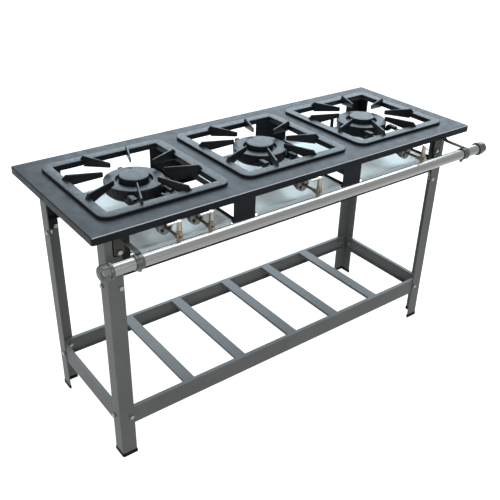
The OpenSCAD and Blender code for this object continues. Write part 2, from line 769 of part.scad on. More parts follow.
// Side outline of the strap: up the corner post, over its crest and down
// to the top of the clamp ring, with reversed bends that meet at 45 degrees
module strap_side() {
    c1 = [crest_y, crest_z];
    knee = c1 + crest_r * [cos(crest_turn), sin(crest_turn)];
    r2 = (knee[1] - strap_end) / (1 - cos(180 - crest_turn));
    c2 = knee + r2 * [cos(crest_turn), sin(crest_turn)];
    a2 = crest_turn - 180;
    half = strap_t / 2;
    polygon(concat(
        [[-strap_face + half, pad_low + pad_h / 2]],
        arc(c1, crest_r + half, 0, crest_turn, 10),
        arc(c2, r2 - half, a2, -90, 8),
        [[pipe_y, strap_end + half], [pipe_y, strap_end - half]],
        arc(c2, r2 + half, -90, a2, 8),
        arc(c1, crest_r - half, crest_turn, 0, 10),
        [[-strap_face - half, pad_low + pad_h / 2]]
    ));
}

// Pad with rounded lower corners, bolted to the corner post, and its strap
module pipe_bracket(s) color(bracket_paint) placed() difference() {
    union() {
        translate([s * strap_x, 0, 0]) rotate([90, 0, 90])
            linear_extrude(strap_w, center = true) strap_side();
        translate([s * strap_x, -post_face_y, pad_low]) rotate([90, 0, 0]) linear_extrude(strap_t) {
            translate([-pad_w / 2, pad_r]) square([pad_w, pad_h - pad_r]);
            translate([-pad_w / 2 + pad_r, 0]) square([pad_w - 2 * pad_r, pad_r + 1]);
            for (side = [-1, 1]) translate([side * (pad_w / 2 - pad_r), pad_r]) circle(pad_r);
        }
    }
    pad_hole(s);
}

// Ring around the pipe, with a bead at its outer end and a set screw's boss below
module pipe_clamp(s) color(steel) placed() translate([s * strap_x, pipe_y, pipe_z]) difference() {
    far = strap_w / 2 + 8;
    union() {
        rotate([0, s * 90, 0]) rotate_extrude($fn = 64) polygon([
            [0, far - clamp_len], [clamp_out, far - clamp_len], [clamp_out, far - 8],
            [clamp_out - 1, far - 7], [clamp_out + 0.8, far - 5.5],
            [clamp_out + 0.8, far - 1], [clamp_out, far], [0, far]
        ]);
        translate([0, 0, -clamp_out - 4]) cylinder(h = 6, r = 6);
    }
    rotate([0, 90, 0]) cylinder(h = 2 * clamp_len, r = clamp_in, center = true, $fn = 64);
    translate([0, 0, -clamp_out - 5]) cylinder(h = 12, r = bolt_r - 0.9);
}

module tap_body(i) color(brass) placed() difference() {
    union() {
        stub(tap_x[i], stub_r, barrel_y - pipe_y - pipe_r + pipe_t);
        translate([tap_x[i], barrel_y, barrel_low]) {
            cylinder(h = barrel_top - barrel_low, r = barrel_r);
            translate([0, 0, barrel_top - barrel_low])
                cylinder(h = gland_h, d = 14 / cos(30), $fn = 6);
        }
        translate([tap_x[i], barrel_y, tube_z]) rotate([-90, 0, 0])
            cylinder(h = boss_end - barrel_y, r = boss_r);
    }
    translate([tap_x[i], barrel_y, tube_z - 3])
        cylinder(h = barrel_top + gland_h - tube_z + 4, r = spindle_r + run_gap);
    translate([tap_x[i], boss_end - 6, tube_z]) rotate([-90, 0, 0])
        cylinder(h = 7, r = nose_r + run_gap);
}

// Brass jet from the tap's boss to the middle of the air shutter
module injectors() color(brass) placed() for (x = tap_x)
    translate([x, boss_end - 6 + rest_gap, tube_z]) rotate([-90, 0, 0]) difference() {
        union() {
            cylinder(h = nose_end - boss_end + 6, r = nose_r);
            translate([0, 0, 6]) cylinder(h = 7, d = 11 / cos(30), $fn = 6);
        }
        translate([0, 0, -1]) cylinder(h = nose_end - boss_end + 3, r = 2);
        cylinder(h = 200, r = 0.6);
    }

// Spindle with a flat bar handle, pointing to -X when the tap is shut
module tap_handle(i) color(brass) placed()
    translate([tap_x[i], barrel_y, 0]) rotate([0, 0, i == 3 ? last_turn : 0]) {
        bar_z = pipe_z + handle_z;
        translate([0, 0, tube_z - 2]) cylinder(h = bar_z - tube_z + 4, r = spindle_r);
        translate([0, 0, bar_z - 8]) cylinder(h = 14, r = spindle_r + 2.5);
        translate([0, 0, bar_z]) linear_extrude(5) {
            translate([-handle_len + 4, -4]) square([handle_len - 4, 8]);
            translate([-handle_len + 4, 0]) circle(4);
        }
    }

// Cup that turns on the mouth of a mixing tube
module air_shutter(i) color(zinc) placed()
    translate([tap_x[i], mouth_y - rest_gap - shutter_t, tube_z]) rotate([-90, 0, 0]) difference() {
        cylinder(h = shutter_len, r = mouth_r + run_gap + shutter_t);
        translate([0, 0, shutter_t]) cylinder(h = shutter_len, r = mouth_r + run_gap);
        translate([0, 0, -1]) cylinder(h = shutter_t + 2, r = nose_r + 1);
        for (k = [0 : air_windows - 1]) rotate([0, 0, k * 360 / air_windows])
            translate([0, 0, -1]) rotate_extrude(angle = air_angle)
                translate([nose_r + 3, 0]) square([mouth_r - nose_r - 6, shutter_t + 2]);
    }

/* ---------- fasteners ---------- */

// Bolts through the leg flanges, into the corner posts and shelf rails
module frame_bolts() color(zinc) placed() for (sx = [-1, 1], sy = [-1, 1])
    at_corner(sx, sy) for (z = [top_bolt_z, shelf_bolt_z]) {
        translate([flange_mid, 0, z]) rotate([-90, 0, 0]) bolt(leg_t + sheet);
        translate([0, flange_mid, z]) rotate([0, 90, 0]) bolt(leg_t + sheet);
    }

module bracket_bolts() color(zinc) placed() for (s = [-1, 1]) {
    translate([s * strap_x, -strap_face - strap_t / 2, pad_bolt]) rotate([-90, 0, 0])
        bolt(strap_t + 2 * sheet);
    translate([s * strap_x, pipe_y, pipe_z - clamp_out - 4]) {
        cylinder(h = clamp_t + 4, r = bolt_r - 1);
        rotate([180, 0, 0]) cylinder(h = 5, d = 10 / cos(30), $fn = 6);
    }
}

top_plate();
trivet(0);  // trivet_left
trivet(1);  // trivet_middle
trivet(2);  // trivet_right
burner_body(0, outer_x, inner_x);  // burner_body_left
burner_body(1, single_x);  // burner_body_middle
burner_body(2, single_x);  // burner_body_right
burner_ring(0);  // burner_ring_left
burner_ring(1);  // burner_ring_middle
burner_ring(2);  // burner_ring_right
burner_cap(0);  // burner_cap_left
burner_cap(1);  // burner_cap_middle
burner_cap(2);  // burner_cap_right
drip_tray(0);  // drip_tray_left
drip_tray(1);  // drip_tray_middle
drip_tray(2);  // drip_tray_right
chassis_front();
chassis_rear();
corner_posts();
tray_runners(0);  // tray_runners_left
tray_runners(1);  // tray_runners_middle
tray_runners(2);  // tray_runners_right
burner_bars(0);  // burner_bars_left
burner_bars(1);  // burner_bars_middle
burner_bars(2);  // burner_bars_right
leg(-1, -1);  // leg_front_left
leg(1, -1);  // leg_front_right
leg(-1, 1);  // leg_rear_left
leg(1, 1);  // leg_rear_right
foot(-1, -1);  // foot_front_left
foot(1, -1);  // foot_front_right
foot(-1, 1);  // foot_rear_left
foot(1, 1);  // foot_rear_right
long_rail(-1);  // shelf_rail_front
long_rail(1);  // shelf_rail_rear
side_rail(-1);  // shelf_rail_left
side_rail(1);  // shelf_rail_right
shelf_slats();
gas_pipe();
pipe_cap(-1);  // pipe_cap_left
pipe_cap(1);  // pipe_cap_right
pipe_bracket(-1);  // pipe_bracket_left
pipe_bracket(1);  // pipe_bracket_right
pipe_clamp(-1);  // pipe_clamp_left
pipe_clamp(1);  // pipe_clamp_right
tap_body(0);  // tap_body_1
tap_body(1);  // tap_body_2
tap_body(2);  // tap_body_3
tap_body(3);  // tap_body_4
tap_handle(0);  // tap_handle_1
tap_handle(1);  // tap_handle_2
tap_handle(2);  // tap_handle_3
tap_handle(3);  // tap_handle_4
air_shutter(0);  // air_shutter_1
air_shutter(1);  // air_shutter_2
air_shutter(2);  // air_shutter_3
air_shutter(3);  // air_shutter_4
injectors();
frame_bolts();
bracket_bolts();
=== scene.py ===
# %% [markdown]
# # A three-burner gas range
#
# The range is a steel stand with a folded top plate, three cast trivets over ring burners, a gas pipe
# with taps along its front and an open shelf of slats. Its construction arrives as a fixed frame of
# named parts in metres. Here each part gets its finish, and the castings, the turned brass and the
# pressed trays get the rounded forms that a foundry, a lathe or a press gives them.

# %% Load the frame
import json
import math

import bmesh
import bpy
import numpy as np
from mathutils import Matrix, Vector


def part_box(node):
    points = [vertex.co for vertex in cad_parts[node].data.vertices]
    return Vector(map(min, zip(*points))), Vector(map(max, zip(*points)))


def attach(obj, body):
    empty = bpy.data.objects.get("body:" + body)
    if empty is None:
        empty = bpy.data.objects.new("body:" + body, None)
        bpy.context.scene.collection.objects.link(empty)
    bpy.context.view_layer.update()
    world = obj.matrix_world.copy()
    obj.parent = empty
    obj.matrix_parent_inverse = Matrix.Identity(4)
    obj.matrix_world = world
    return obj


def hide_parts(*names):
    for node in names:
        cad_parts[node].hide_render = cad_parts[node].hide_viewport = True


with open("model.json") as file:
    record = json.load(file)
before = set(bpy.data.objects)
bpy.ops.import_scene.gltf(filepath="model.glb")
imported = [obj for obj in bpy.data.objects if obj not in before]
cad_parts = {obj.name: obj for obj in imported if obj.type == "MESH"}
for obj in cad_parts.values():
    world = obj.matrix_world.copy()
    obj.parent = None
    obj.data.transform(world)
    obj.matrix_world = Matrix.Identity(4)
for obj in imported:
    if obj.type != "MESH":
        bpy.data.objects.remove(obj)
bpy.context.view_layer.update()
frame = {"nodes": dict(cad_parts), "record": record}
nodes = frame["nodes"]
scene = bpy.context.scene

# %% [markdown]
# ## Camera
#
# A camera is easiest to reason about as a point on a sphere around what it looks at: an azimuth, an
# elevation and a distance. Roll is a small turn about the line of sight. With the sensor as wide as the
# picture, the lens in millimetres follows from the focal length in picture widths.

# %% Place the camera
SENSOR = 36.0
FOCAL = 1.3962          # focal length, in picture widths
AZIMUTH = -37.78
ELEVATION = 30.14
ROLL = 1.61
DISTANCE = 2.4227
TARGET = Vector((-0.0280, 0.0419, 0.4242))


def camera_pose(azimuth, elevation, roll, distance, target):
    """Matrix of a camera that looks at target from distance away. Its back points along
    (sin a cos e, -cos a cos e, sin e), and right and up are then turned by the roll."""
    a, e, r = (math.radians(angle) for angle in (azimuth, elevation, roll))
    back = Vector((math.sin(a) * math.cos(e), -math.cos(a) * math.cos(e), math.sin(e)))
    right = (-back).cross(Vector((0, 0, 1))).normalized()
    up = right.cross(-back)
    rolled = math.cos(r) * right + math.sin(r) * up
    turned = Matrix((rolled, math.cos(r) * up - math.sin(r) * right, back)).transposed().to_4x4()
    turned.translation = target + distance * back
    return turned


camera = bpy.data.objects.new("camera", bpy.data.cameras.new("camera"))
scene.collection.objects.link(camera)
camera.data.sensor_width = SENSOR
camera.data.lens = FOCAL * SENSOR
camera.matrix_world = camera_pose(AZIMUTH, ELEVATION, ROLL, DISTANCE, TARGET)
scene.camera = camera
print("lens", round(camera.data.lens, 1), "mm")

# %% [markdown]
# ## Floor
#
# A product stands on a pale floor. A plain white floor would throw light up under the range and grey out
# its black parts. So this floor is a grey surface that adds a glow of its own only for rays that see it
# straight or in a reflection: it looks white, keeps the shadows, and lights little.

# %% Lay the floor
FLOOR_HALF = 9
FLOOR_GREY = 0.30
FLOOR_GLOW = 0.94


def seen_rays(tree):
    """Socket that is 1 for camera, glossy and transmission rays, and 0 for the rest."""
    path = tree.nodes.new("ShaderNodeLightPath")
    total = path.outputs["Is Camera Ray"]
    for name in ("Is Glossy Ray", "Is Transmission Ray"):
        both = tree.nodes.new("ShaderNodeMath")
        both.operation = "MAXIMUM"
        tree.links.new(total, both.inputs[0])
        tree.links.new(path.outputs[name], both.inputs[1])
        total = both.outputs[0]
    return total


def make_floor():
    """Level square under the object, with a glow that only seeing rays meet."""
    corners = [(x * FLOOR_HALF, y * FLOOR_HALF, 0) for x, y in ((-1, -1), (1, -1), (1, 1), (-1, 1))]
    mesh = bpy.data.meshes.new("floor")
    mesh.from_pydata(corners, [], [(0, 1, 2, 3)])
    floor = bpy.data.objects.new("floor", mesh)
    scene.collection.objects.link(floor)
    material = bpy.data.materials.new("pale_floor")
    material.use_nodes = True
    tree = material.node_tree
    shader = tree.nodes["Principled BSDF"]
    shader.inputs["Base Color"].default_value = (FLOOR_GREY, FLOOR_GREY, FLOOR_GREY, 1)
    shader.inputs["Roughness"].default_value = 1.0
    shader.inputs["Specular IOR Level"].default_value = 0.0
    shader.inputs["Emission Color"].default_value = (1, 1, 1, 1)
    glow = tree.nodes.new("ShaderNodeMath")
    glow.operation = "MULTIPLY"
    glow.inputs[1].default_value = FLOOR_GLOW
    tree.links.new(seen_rays(tree), glow.inputs[0])
    tree.links.new(glow.outputs[0], shader.inputs["Emission Strength"])
    mesh.materials.append(material)


make_floor()
print("floor", 2 * FLOOR_HALF, "m wide")

# %% [markdown]
# ## Sky
#
# Light also comes evenly from all round. Metal needs white walls to mirror, but their full light would
# wash out the black parts. The same test of the ray makes a sky that looks white and lights far less.

# %% Fill the sky
SKY_LIGHT = 0.30


def make_sky():
    """Even light all round, and plain white wherever a ray sees it."""
    world = bpy.data.worlds.new("sky")
    world.use_nodes = True
    tree = world.node_tree
    shader = tree.nodes["Background"]
    lift = tree.nodes.new("ShaderNodeMapRange")
    lift.inputs["To Min"].default_value = SKY_LIGHT
    lift.inputs["To Max"].default_value = 1.0
    tree.links.new(seen_rays(tree), lift.inputs["Value"])
    tree.links.new(lift.outputs["Result"], shader.inputs["Strength"])
    shader.inputs["Color"].default_value = (1, 1, 1, 1)
    scene.world = world


make_sky()
print("sky lights at", SKY_LIGHT)

# %% [markdown]
# ## Lamps
#
# A wide, slightly blue lamp behind the range skims every level face, which is what parts the tops of
# black castings from their sides. The others fill in from the left, the front and above. A long narrow
# one, set off to the right, is where the camera sees it mirrored along the whole pipe.

# %% Hang the lamps
RANGE_MIDDLE = (0, 0, 0.6)
PIPE_TARGET = (1.6, -0.28, 0.74)


def soft_lamp(name, azimuth, elevation, distance, size, watts, colour=(1, 1, 1), target=RANGE_MIDDLE):
    """Rectangular lamp on a sphere around its target, and facing it."""
    lamp = bpy.data.lights.new(name, "AREA")
    lamp.shape = "RECTANGLE"
    lamp.size, lamp.size_y = size
    lamp.energy = watts
    lamp.color = colour
    holder = bpy.data.objects.new(name, lamp)
    scene.collection.objects.link(holder)
    holder.matrix_world = camera_pose(azimuth, elevation, 0, distance, Vector(target))


soft_lamp("back_lamp", 142, 34, 3.2, (3.6, 2.4), 160, (0.70, 0.87, 1.0))
soft_lamp("left_lamp", -98, 28, 3.0, (1.6, 2.2), 24)
soft_lamp("front_lamp", -18, 24, 3.4, (2.6, 1.2), 52)
soft_lamp("top_lamp", 0, 86, 2.6, (2.6, 1.8), 6)
soft_lamp("pipe_lamp", 180, 80, 2.6, (3.2, 1.1), 60, target=PIPE_TARGET)
scene.view_settings.view_transform = "Standard"
print(len(bpy.data.lights), "lamps")

# %% [markdown]
# ## Finishes
#
# Every finish starts from the same Principled shader. Its plain numbers sit on the shader itself. A
# picture of a surface would have to be wrapped round each part, so colour, roughness and height vary by
# noise in the part's own coordinates instead, which are metres.

# %% Start a finish
BY_SLOT = {}


def add_node(tree, kind, settings=None, **inputs):
    """One shader node. Each input is a constant or the socket that feeds it."""
    made = tree.nodes.new("ShaderNode" + kind)
    for key, value in (settings or {}).items():
        setattr(made, key, value)
    for key, value in inputs.items():
        socket = made.inputs[key.replace("_", " ")]
        if isinstance(value, bpy.types.NodeSocket):
            tree.links.new(value, socket)
        else:
            socket.default_value = value
    return made


def new_finish(name, roughness, metallic=0.0, gloss=0.5):
    """Material with one Principled shader; returns the material, its tree and the shader."""
    material = bpy.data.materials.new(name)
    material.use_nodes = True
    shader = material.node_tree.nodes["Principled BSDF"]
    shader.inputs["Roughness"].default_value = roughness
    shader.inputs["Metallic"].default_value = metallic
    shader.inputs["Specular IOR Level"].default_value = gloss
    return material, material.node_tree, shader


def keep_finish(slot, material):
    """Keeps a finish for the parts that name its slot."""
    BY_SLOT[slot] = material
    print(material.name, "has", len(material.node_tree.nodes), "nodes")


# %% [markdown]
# ## Noise, shades and bumps
#
# No paint or metal is quite even. Four short helpers vary it: a noise in metres, a ramp of two shades, a
# range for the roughness, and bumps of a real depth. Building each node tree by hand would repeat the
# same few nodes a dozen times.

# %% Vary a finish
NOISE_LOW, NOISE_HIGH = 0.3, 0.7        # most of a noise lies between these


def noise(tree, size, detail=3.0, stretch=(1, 1, 1)):
    """Noise whose blots are about size metres across, longer along an axis with a low stretch."""
    where = tree.nodes.new("ShaderNodeTexCoord").outputs["Object"]
    mapped = add_node(tree, "Mapping", Vector=where, Scale=stretch).outputs["Vector"]
    return add_node(tree, "TexNoise", Vector=mapped, Scale=1 / size, Detail=detail).outputs["Fac"]


def shades(tree, value, low, high, ends=(NOISE_LOW, NOISE_HIGH)):
    """Colour that goes from low to high as value goes from one end to the other."""
    ramp = tree.nodes.new("ShaderNodeValToRGB")
    for element, place, colour in zip(ramp.color_ramp.elements, ends, (low, high)):
        element.position = place
        element.color = (*colour, 1)
    tree.links.new(value, ramp.inputs["Fac"])
    return ramp.outputs["Color"]


def spread(tree, value, low, high):
    """Carries a value from the range that a noise mostly fills to the range low to high."""
    return add_node(tree, "MapRange", Value=value, From_Min=NOISE_LOW, From_Max=NOISE_HIGH, To_Min=low,
                    To_Max=high).outputs["Result"]


def bumps(tree, shader, layers):
    """Height from (noise socket, depth in metres) layers, each on top of the one before."""
    normal = None
    for height, depth in layers:
        bump = add_node(tree, "Bump", Height=height, Distance=depth, Strength=1.0)
        if normal is not None:
            tree.links.new(normal, bump.inputs["Normal"])
        normal = bump.outputs["Normal"]
    tree.links.new(normal, shader.inputs["Normal"])


print("noise is read from", NOISE_LOW, "to", NOISE_HIGH)

# %% [markdown]
# ## Black enamel
#
# The plate and the chassis are folded sheet with satin black enamel. The light line along the plate's front
# fold is a painted highlight: a lighter base colour on the fold stands in for the lamps' glint there.
# Painting that line by hand would tie it to one size, but the surface normal finds the fold by itself: only
# there do Y and Z both count.

# %% Mix the black enamel
# colour of the painted highlight on the front fold, which stands in for the lamps' glint
PAINTED_FOLD_HIGHLIGHT = (0.42, 0.43, 0.46)


def front_fold(tree):
    """Socket that is 1 on a fold between a level face and a face towards the taps, the mask of the painted
    highlight. It is the product Ny Nz of the surface normal, scaled so that -0.2 gives 0 and -0.46 gives 1."""
    facing = tree.nodes.new("ShaderNodeNewGeometry").outputs["True Normal"]
    parts = add_node(tree, "SeparateXYZ", Vector=facing)
    product = add_node(tree, "Math", {"operation": "MULTIPLY"})
    tree.links.new(parts.outputs["Y"], product.inputs[0])
    tree.links.new(parts.outputs["Z"], product.inputs[1])
    return add_node(tree, "MapRange", Value=product.outputs[0], From_Min=-0.2, From_Max=-0.46,
                    To_Min=0.0, To_Max=1.0).outputs["Result"]


def black_enamel():
    """Satin black enamel on folded sheet, with faint orange peel and a painted highlight along the front
    fold.
    """
    material, tree, shader = new_finish("black_enamel", 0.4, gloss=0.07)
    tone = shades(tree, noise(tree, 0.12), (0.011, 0.013, 0.015), (0.016, 0.019, 0.023))
    # painted highlight: the fold takes a lighter base colour in place of a glint from the lamps
    painted_fold = tree.nodes.new("ShaderNodeMix")
    painted_fold.data_type = "RGBA"
    tree.links.new(front_fold(tree), painted_fold.inputs["Factor"])
    tree.links.new(tone, painted_fold.inputs[6])
    painted_fold.inputs[7].default_value = (*PAINTED_FOLD_HIGHLIGHT, 1)
    tree.links.new(painted_fold.outputs[2], shader.inputs["Base Color"])
    tree.links.new(spread(tree, noise(tree, 0.03), 0.36, 0.48), shader.inputs["Roughness"])
    bumps(tree, shader, [(noise(tree, 0.0016, 2), 0.00006)])
    return material


keep_finish("black_paint", black_enamel())

# %% [markdown]
# ## Painted cast iron
#
# Sand leaves its grain on a casting, and thin heat-proof paint doesn't fill it. Displacing the mesh would
# take millions of faces, while bumps only bend the light. Two layers of them do: broad waves of the mould
# and fine grains. The gloss is low, so the sides stay black while the level tops catch the lamp behind.

# %% Mix the casting paint
def cast_iron_paint():
    """Sand-cast iron under thin heat-proof paint: grainy, with slightly greyer high spots."""
    material, tree, shader = new_finish("cast_iron_paint", 0.42, gloss=0.11)
    grain = noise(tree, 0.0022, 4)
    tree.links.new(shades(tree, grain, (0.005, 0.006, 0.007), (0.010, 0.012, 0.014)),
                   shader.inputs["Base Color"])
    tree.links.new(spread(tree, noise(tree, 0.012), 0.30, 0.42), shader.inputs["Roughness"])
    bumps(tree, shader, [(noise(tree, 0.009, 3), 0.0004), (grain, 0.00016)])
    return material


keep_finish("cast_iron", cast_iron_paint())

# %% [markdown]
# ## Stand paints and feet
#
# The stand is powder-coated grey, and the pipe's brackets are a dark bronze-grey. Both are one recipe, a
# cloud of two near shades under an even peel, with other sizes. The feet are plain black plastic.

# %% Mix the stand paints
def even_paint(name, roughness, low, high, cloud_size, peel_size):
    """Even paint with a cloud of two shades and a fine peel."""
    material, tree, shader = new_finish(name, roughness, gloss=0.25)
    tree.links.new(shades(tree, noise(tree, cloud_size), low, high), shader.inputs["Base Color"])
    bumps(tree, shader, [(noise(tree, peel_size, 2), 0.0001)])
    return material


def foot_plastic():
    """Black moulded plastic with a fine leathery skin."""
    material, tree, shader = new_finish("foot_plastic", 0.6, gloss=0.06)
    shader.inputs["Base Color"].default_value = (0.004, 0.004, 0.0045, 1)
    bumps(tree, shader, [(noise(tree, 0.001, 2), 0.00008)])
    return material


keep_finish("grey_paint", even_paint("grey_paint", 0.5, (0.104, 0.108, 0.106), (0.126, 0.130, 0.128),
                                     cloud_size=0.15, peel_size=0.0022))
keep_finish("bracket_paint", even_paint("bracket_paint", 0.45, (0.036, 0.034, 0.027),
                                        (0.052, 0.048, 0.038), cloud_size=0.02, peel_size=0.002))
keep_finish("foot_plastic", foot_plastic())

# %% [markdown]
# ## Galvanised sheet
#
# Zinc freezes on steel in crystals a centimetre or two across, each a little lighter or duller than its
# neighbours. Noise would blur them into clouds, but Voronoi cells have their straight edges, and one
# random colour for each cell. Read as a grey, it sets both the tone and the gloss.

# %% Mix the galvanised sheet
CRYSTALS_PER_METRE = 70.0
CELL_ENDS = (0.2, 0.8)


def galvanised_sheet():
    """Dull zinc on sheet steel, cell by cell."""
    material, tree, shader = new_finish("galvanised_sheet", 0.5, metallic=0.25)
    where = tree.nodes.new("ShaderNodeTexCoord").outputs["Object"]
    crystals = add_node(tree, "TexVoronoi", Vector=where, Scale=CRYSTALS_PER_METRE)
    level = add_node(tree, "RGBToBW", Color=crystals.outputs["Color"]).outputs["Val"]
    tree.links.new(shades(tree, level, (0.54, 0.61, 0.62), (0.61, 0.68, 0.69), CELL_ENDS),
                   shader.inputs["Base Color"])
    tree.links.new(spread(tree, level, 0.44, 0.58), shader.inputs["Roughness"])
    return material


keep_finish("galvanised_sheet", galvanised_sheet())

# %% [markdown]
# ## Drawn and turned metal
#
# Pipe, caps, bolts, brass and handles are all bare metal with faint marks along the way they were drawn,
# turned or polished. An anisotropic shader would draw out every highlight, which marks this faint don't
# do. A noise that is stretched along the marks, and changes colour, roughness and height together, does.

# %% Mix the bare metals
def drawn_metal(name, colour, roughness, along=(1, 1, 1), marks=1.0):
    """Bare metal; the marks' strength scales how much they darken, roughen and cut."""
    material, tree, shader = new_finish(name, roughness, metallic=0.9)
    streaks = noise(tree, 0.0015, 3, along)
    low = tuple((1 - 0.12 * marks) * c for c in colour)
    tree.links.new(shades(tree, streaks, low, colour), shader.inputs["Base Color"])
    tree.links.new(spread(tree, streaks, roughness - 0.05 * marks, roughness + 0.07 * marks),
                   shader.inputs["Roughness"])
    bumps(tree, shader, [(streaks, 0.00003 * marks)])
    return material


keep_finish("pipe_steel", drawn_metal("pipe_steel", (0.24, 0.24, 0.236), 0.22, (0.03, 1, 1), 0.15))
keep_finish("cap_iron", drawn_metal("malleable_cap", (0.085, 0.088, 0.088), 0.36))
keep_finish("zinc_plate", drawn_metal("zinc_plate", (0.28, 0.30, 0.28), 0.35))
keep_finish("brass", drawn_metal("turned_brass", (0.27, 0.225, 0.16), 0.3, (1, 1, 0.2)))
keep_finish("handle_metal", drawn_metal("handle_metal", (0.36, 0.32, 0.27), 0.22, (0.2, 1, 1)))

# %% [markdown]
# ## A finish for each part
#
# The record names a slot for every part, and the finish kept for that slot goes on it. The air shutters
# share the bolts' slot, but soot has dulled them, so they take a darker metal of their own.

# %% Give each part its finish
SHUTTER = drawn_metal("shutter_metal", (0.15, 0.155, 0.145), 0.5)
slot_of = {row["node"]: row["material_slot"] for row in frame["record"]["subparts"]}
for name, part in nodes.items():
    part.data.materials.clear()
    part.data.materials.append(SHUTTER if name.startswith("air_shutter") else BY_SLOT[slot_of[name]])
print(len(BY_SLOT) + 1, "finishes on", len(nodes), "parts")

# %% [markdown]
# ## Shapes from arrays
#
# A casting, a turned part or a pressing is easiest to describe as a grid of points: one direction runs
# along its outline, the other round its axis or along its path. Primitives and modifiers could be stacked
# up to such shapes too, but here all points come out of one formula as an array and every size keeps its
# name. Four neighbours make a face, and rows that meet in a pole are merged afterwards.

# %% Make grids and outlines
X, Y, Z = np.eye(3)
NEARLY_HALF = 0.49      # share of a side that one corner may round off


def grid(points, wrap_rows=True, wrap_columns=True):
    """Points of a rows x columns x 3 array, and a quad between every four neighbours."""
    rows, columns = points.shape[:2]
    row = np.arange(rows if wrap_rows else rows - 1)[:, None]
    column = np.arange(columns if wrap_columns else columns - 1)[None]
    below, right = (row + 1) % rows, (column + 1) % columns
    faces = [row * columns + column, row * columns + right, below * columns + right, below * columns + column]
    return points.reshape(-1, 3), np.stack(faces, axis=-1).reshape(-1, 4)


def shut(points):
    """The same grid with a row added at each end, all of it at that end's middle."""
    first, last = (np.broadcast_to(row.mean(0), row.shape)[None] for row in (points[0], points[-1]))
    return np.concatenate([first, points, last])


def eased(rows, steps=5):
    """Closed outline with rounded corners, from (across, up, reach) rows. Near its corner c it follows
    (1-t)^2 p + 2t(1-t) c + t^2 q, where p and q lie at that row's reach from c along its two sides."""
    rows = np.asarray(rows, float)
    corners, reach = rows[:, :2], rows[:, 2:]
    ends = []
    for side in (np.roll(corners, 1, axis=0) - corners, np.roll(corners, -1, axis=0) - corners):
        length = np.linalg.norm(side, axis=1, keepdims=True)
        ends.append(corners + side / length * np.minimum(reach, NEARLY_HALF * length))
    t = np.linspace(0, 1, steps)[None, :, None]
    curve = (1 - t) ** 2 * ends[0][:, None] + 2 * t * (1 - t) * corners[:, None] + t ** 2 * ends[1][:, None]
    return curve.reshape(-1, 2)


print("an eased square has", len(eased([(0, 0, 0.1), (1, 0, 0.1), (1, 1, 0.1), (0, 1, 0.1)])), "points")

# %% [markdown]
# ## Turned shapes
#
# A lathe sweeps an outline round an axis. The Screw modifier does that too, but only with one radius all
# the way round. Here the radius may follow a rule of the angle, so nuts, glands and flame ports are
# turned shapes as well.

# %% Turn an outline
CHAMFER_RISE = 0.6      # height of a nut's turned-off corner, as a share of its depth


def turned(outline, origin, along, start, steps=48, reshape=None):
    """Outline of (radius, height) rows turned round a line through origin. A point at angle a lies at
    origin + r (cos a start + sin a side) + h along; reshape(a, r, h) may give another radius."""
    along, start = np.asarray(along, float), np.asarray(start, float)
    side = np.cross(along, start)
    angle = np.linspace(0, 2 * np.pi, steps, endpoint=False)[:, None]
    radius, height = np.broadcast_arrays(outline[None, :, 0], outline[None, :, 1])
    radius = reshape(angle, radius, height) if reshape else radius + 0 * angle
    height = height + 0 * angle
    spoke = np.cos(angle)[..., None] * start + np.sin(angle)[..., None] * side
    return grid(np.asarray(origin) + radius[..., None] * spoke + height[..., None] * along)


def rod(radius, low, high, origin, along, start, ease=0.0004, steps=32):
    """Round rod from low to high along a line, with eased ends."""
    outline = eased([(0, low, 0), (radius, low, ease), (radius, high, ease), (0, high, 0)], steps=4)
    return turned(outline, origin, along, start, steps)


def hexagon(angle, flat):
    """Radius of a hexagon whose sides lie at flat from its middle: flat / cos of the angle to the middle
    of the nearest side."""
    return flat / np.cos((angle + np.pi / 6) % (np.pi / 3) - np.pi / 6)


def hexagonal(flat):
    """Radius rule that cuts a turned shape to a hexagon: r becomes the smaller of r and the hexagon."""
    def rule(angle, radius, height):
        return np.minimum(radius, hexagon(angle, flat))
    return rule


def hex_head(flats, low, high, origin, along, start, chamfer=0.12):
    """Bolt head or nut between two heights. Its outline narrows towards both faces by a share of its
    corner radius, so the hexagon's corners are turned off as on a real one."""
    corner = flats / math.sqrt(3)
    cut = chamfer * corner
    rise = cut * CHAMFER_RISE
    outline = np.array([(0, low), (corner - cut, low), (corner, low + rise), (corner, high - rise),
                        (corner - cut, high), (0, high)])
    return turned(outline, origin, along, start, reshape=hexagonal(flats / 2))


print("a nut has", len(hex_head(0.013, 0, 0.006, (0, 0, 0), Z, X)[1]), "faces before its poles merge")

# %% [markdown]
# ## Frames and rings
#
# Not everything here is round. A rim is an outline carried round a square, and a pressing is a stack of
# rounded rectangles. A bevel would need a block to start from and would drag its edges along, while here
# four quarter circles, pushed out to the corners, serve both.

# %% Carry an outline round a square
CORNER_SIGNS = np.array([(1, 1), (-1, 1), (-1, -1), (1, -1)])


def corner_arcs(steps):
    """Directions (cos a, sin a) round four quarter circles, and the signs of each one's corner."""
    angle = (np.linspace(0, np.pi / 2, steps)[None] + np.arange(4)[:, None] * np.pi / 2).ravel()
    return np.stack([np.cos(angle), np.sin(angle)], axis=1), np.repeat(CORNER_SIGNS, steps, axis=0)


def framed(outline, half, corner, steps=10):
    """Outline of (out, up) rows carried round a square of the given half side and corner radius; out is
    measured from the lines that join the corner centres."""
    out, quarter = corner_arcs(steps)
    plan = ((half - corner) * quarter)[:, None] + out[:, None] * outline[None, :, :1]
    up = np.broadcast_to(outline[None, :, 1:], plan.shape[:2] + (1,))
    return grid(np.concatenate([plan, up], axis=2))


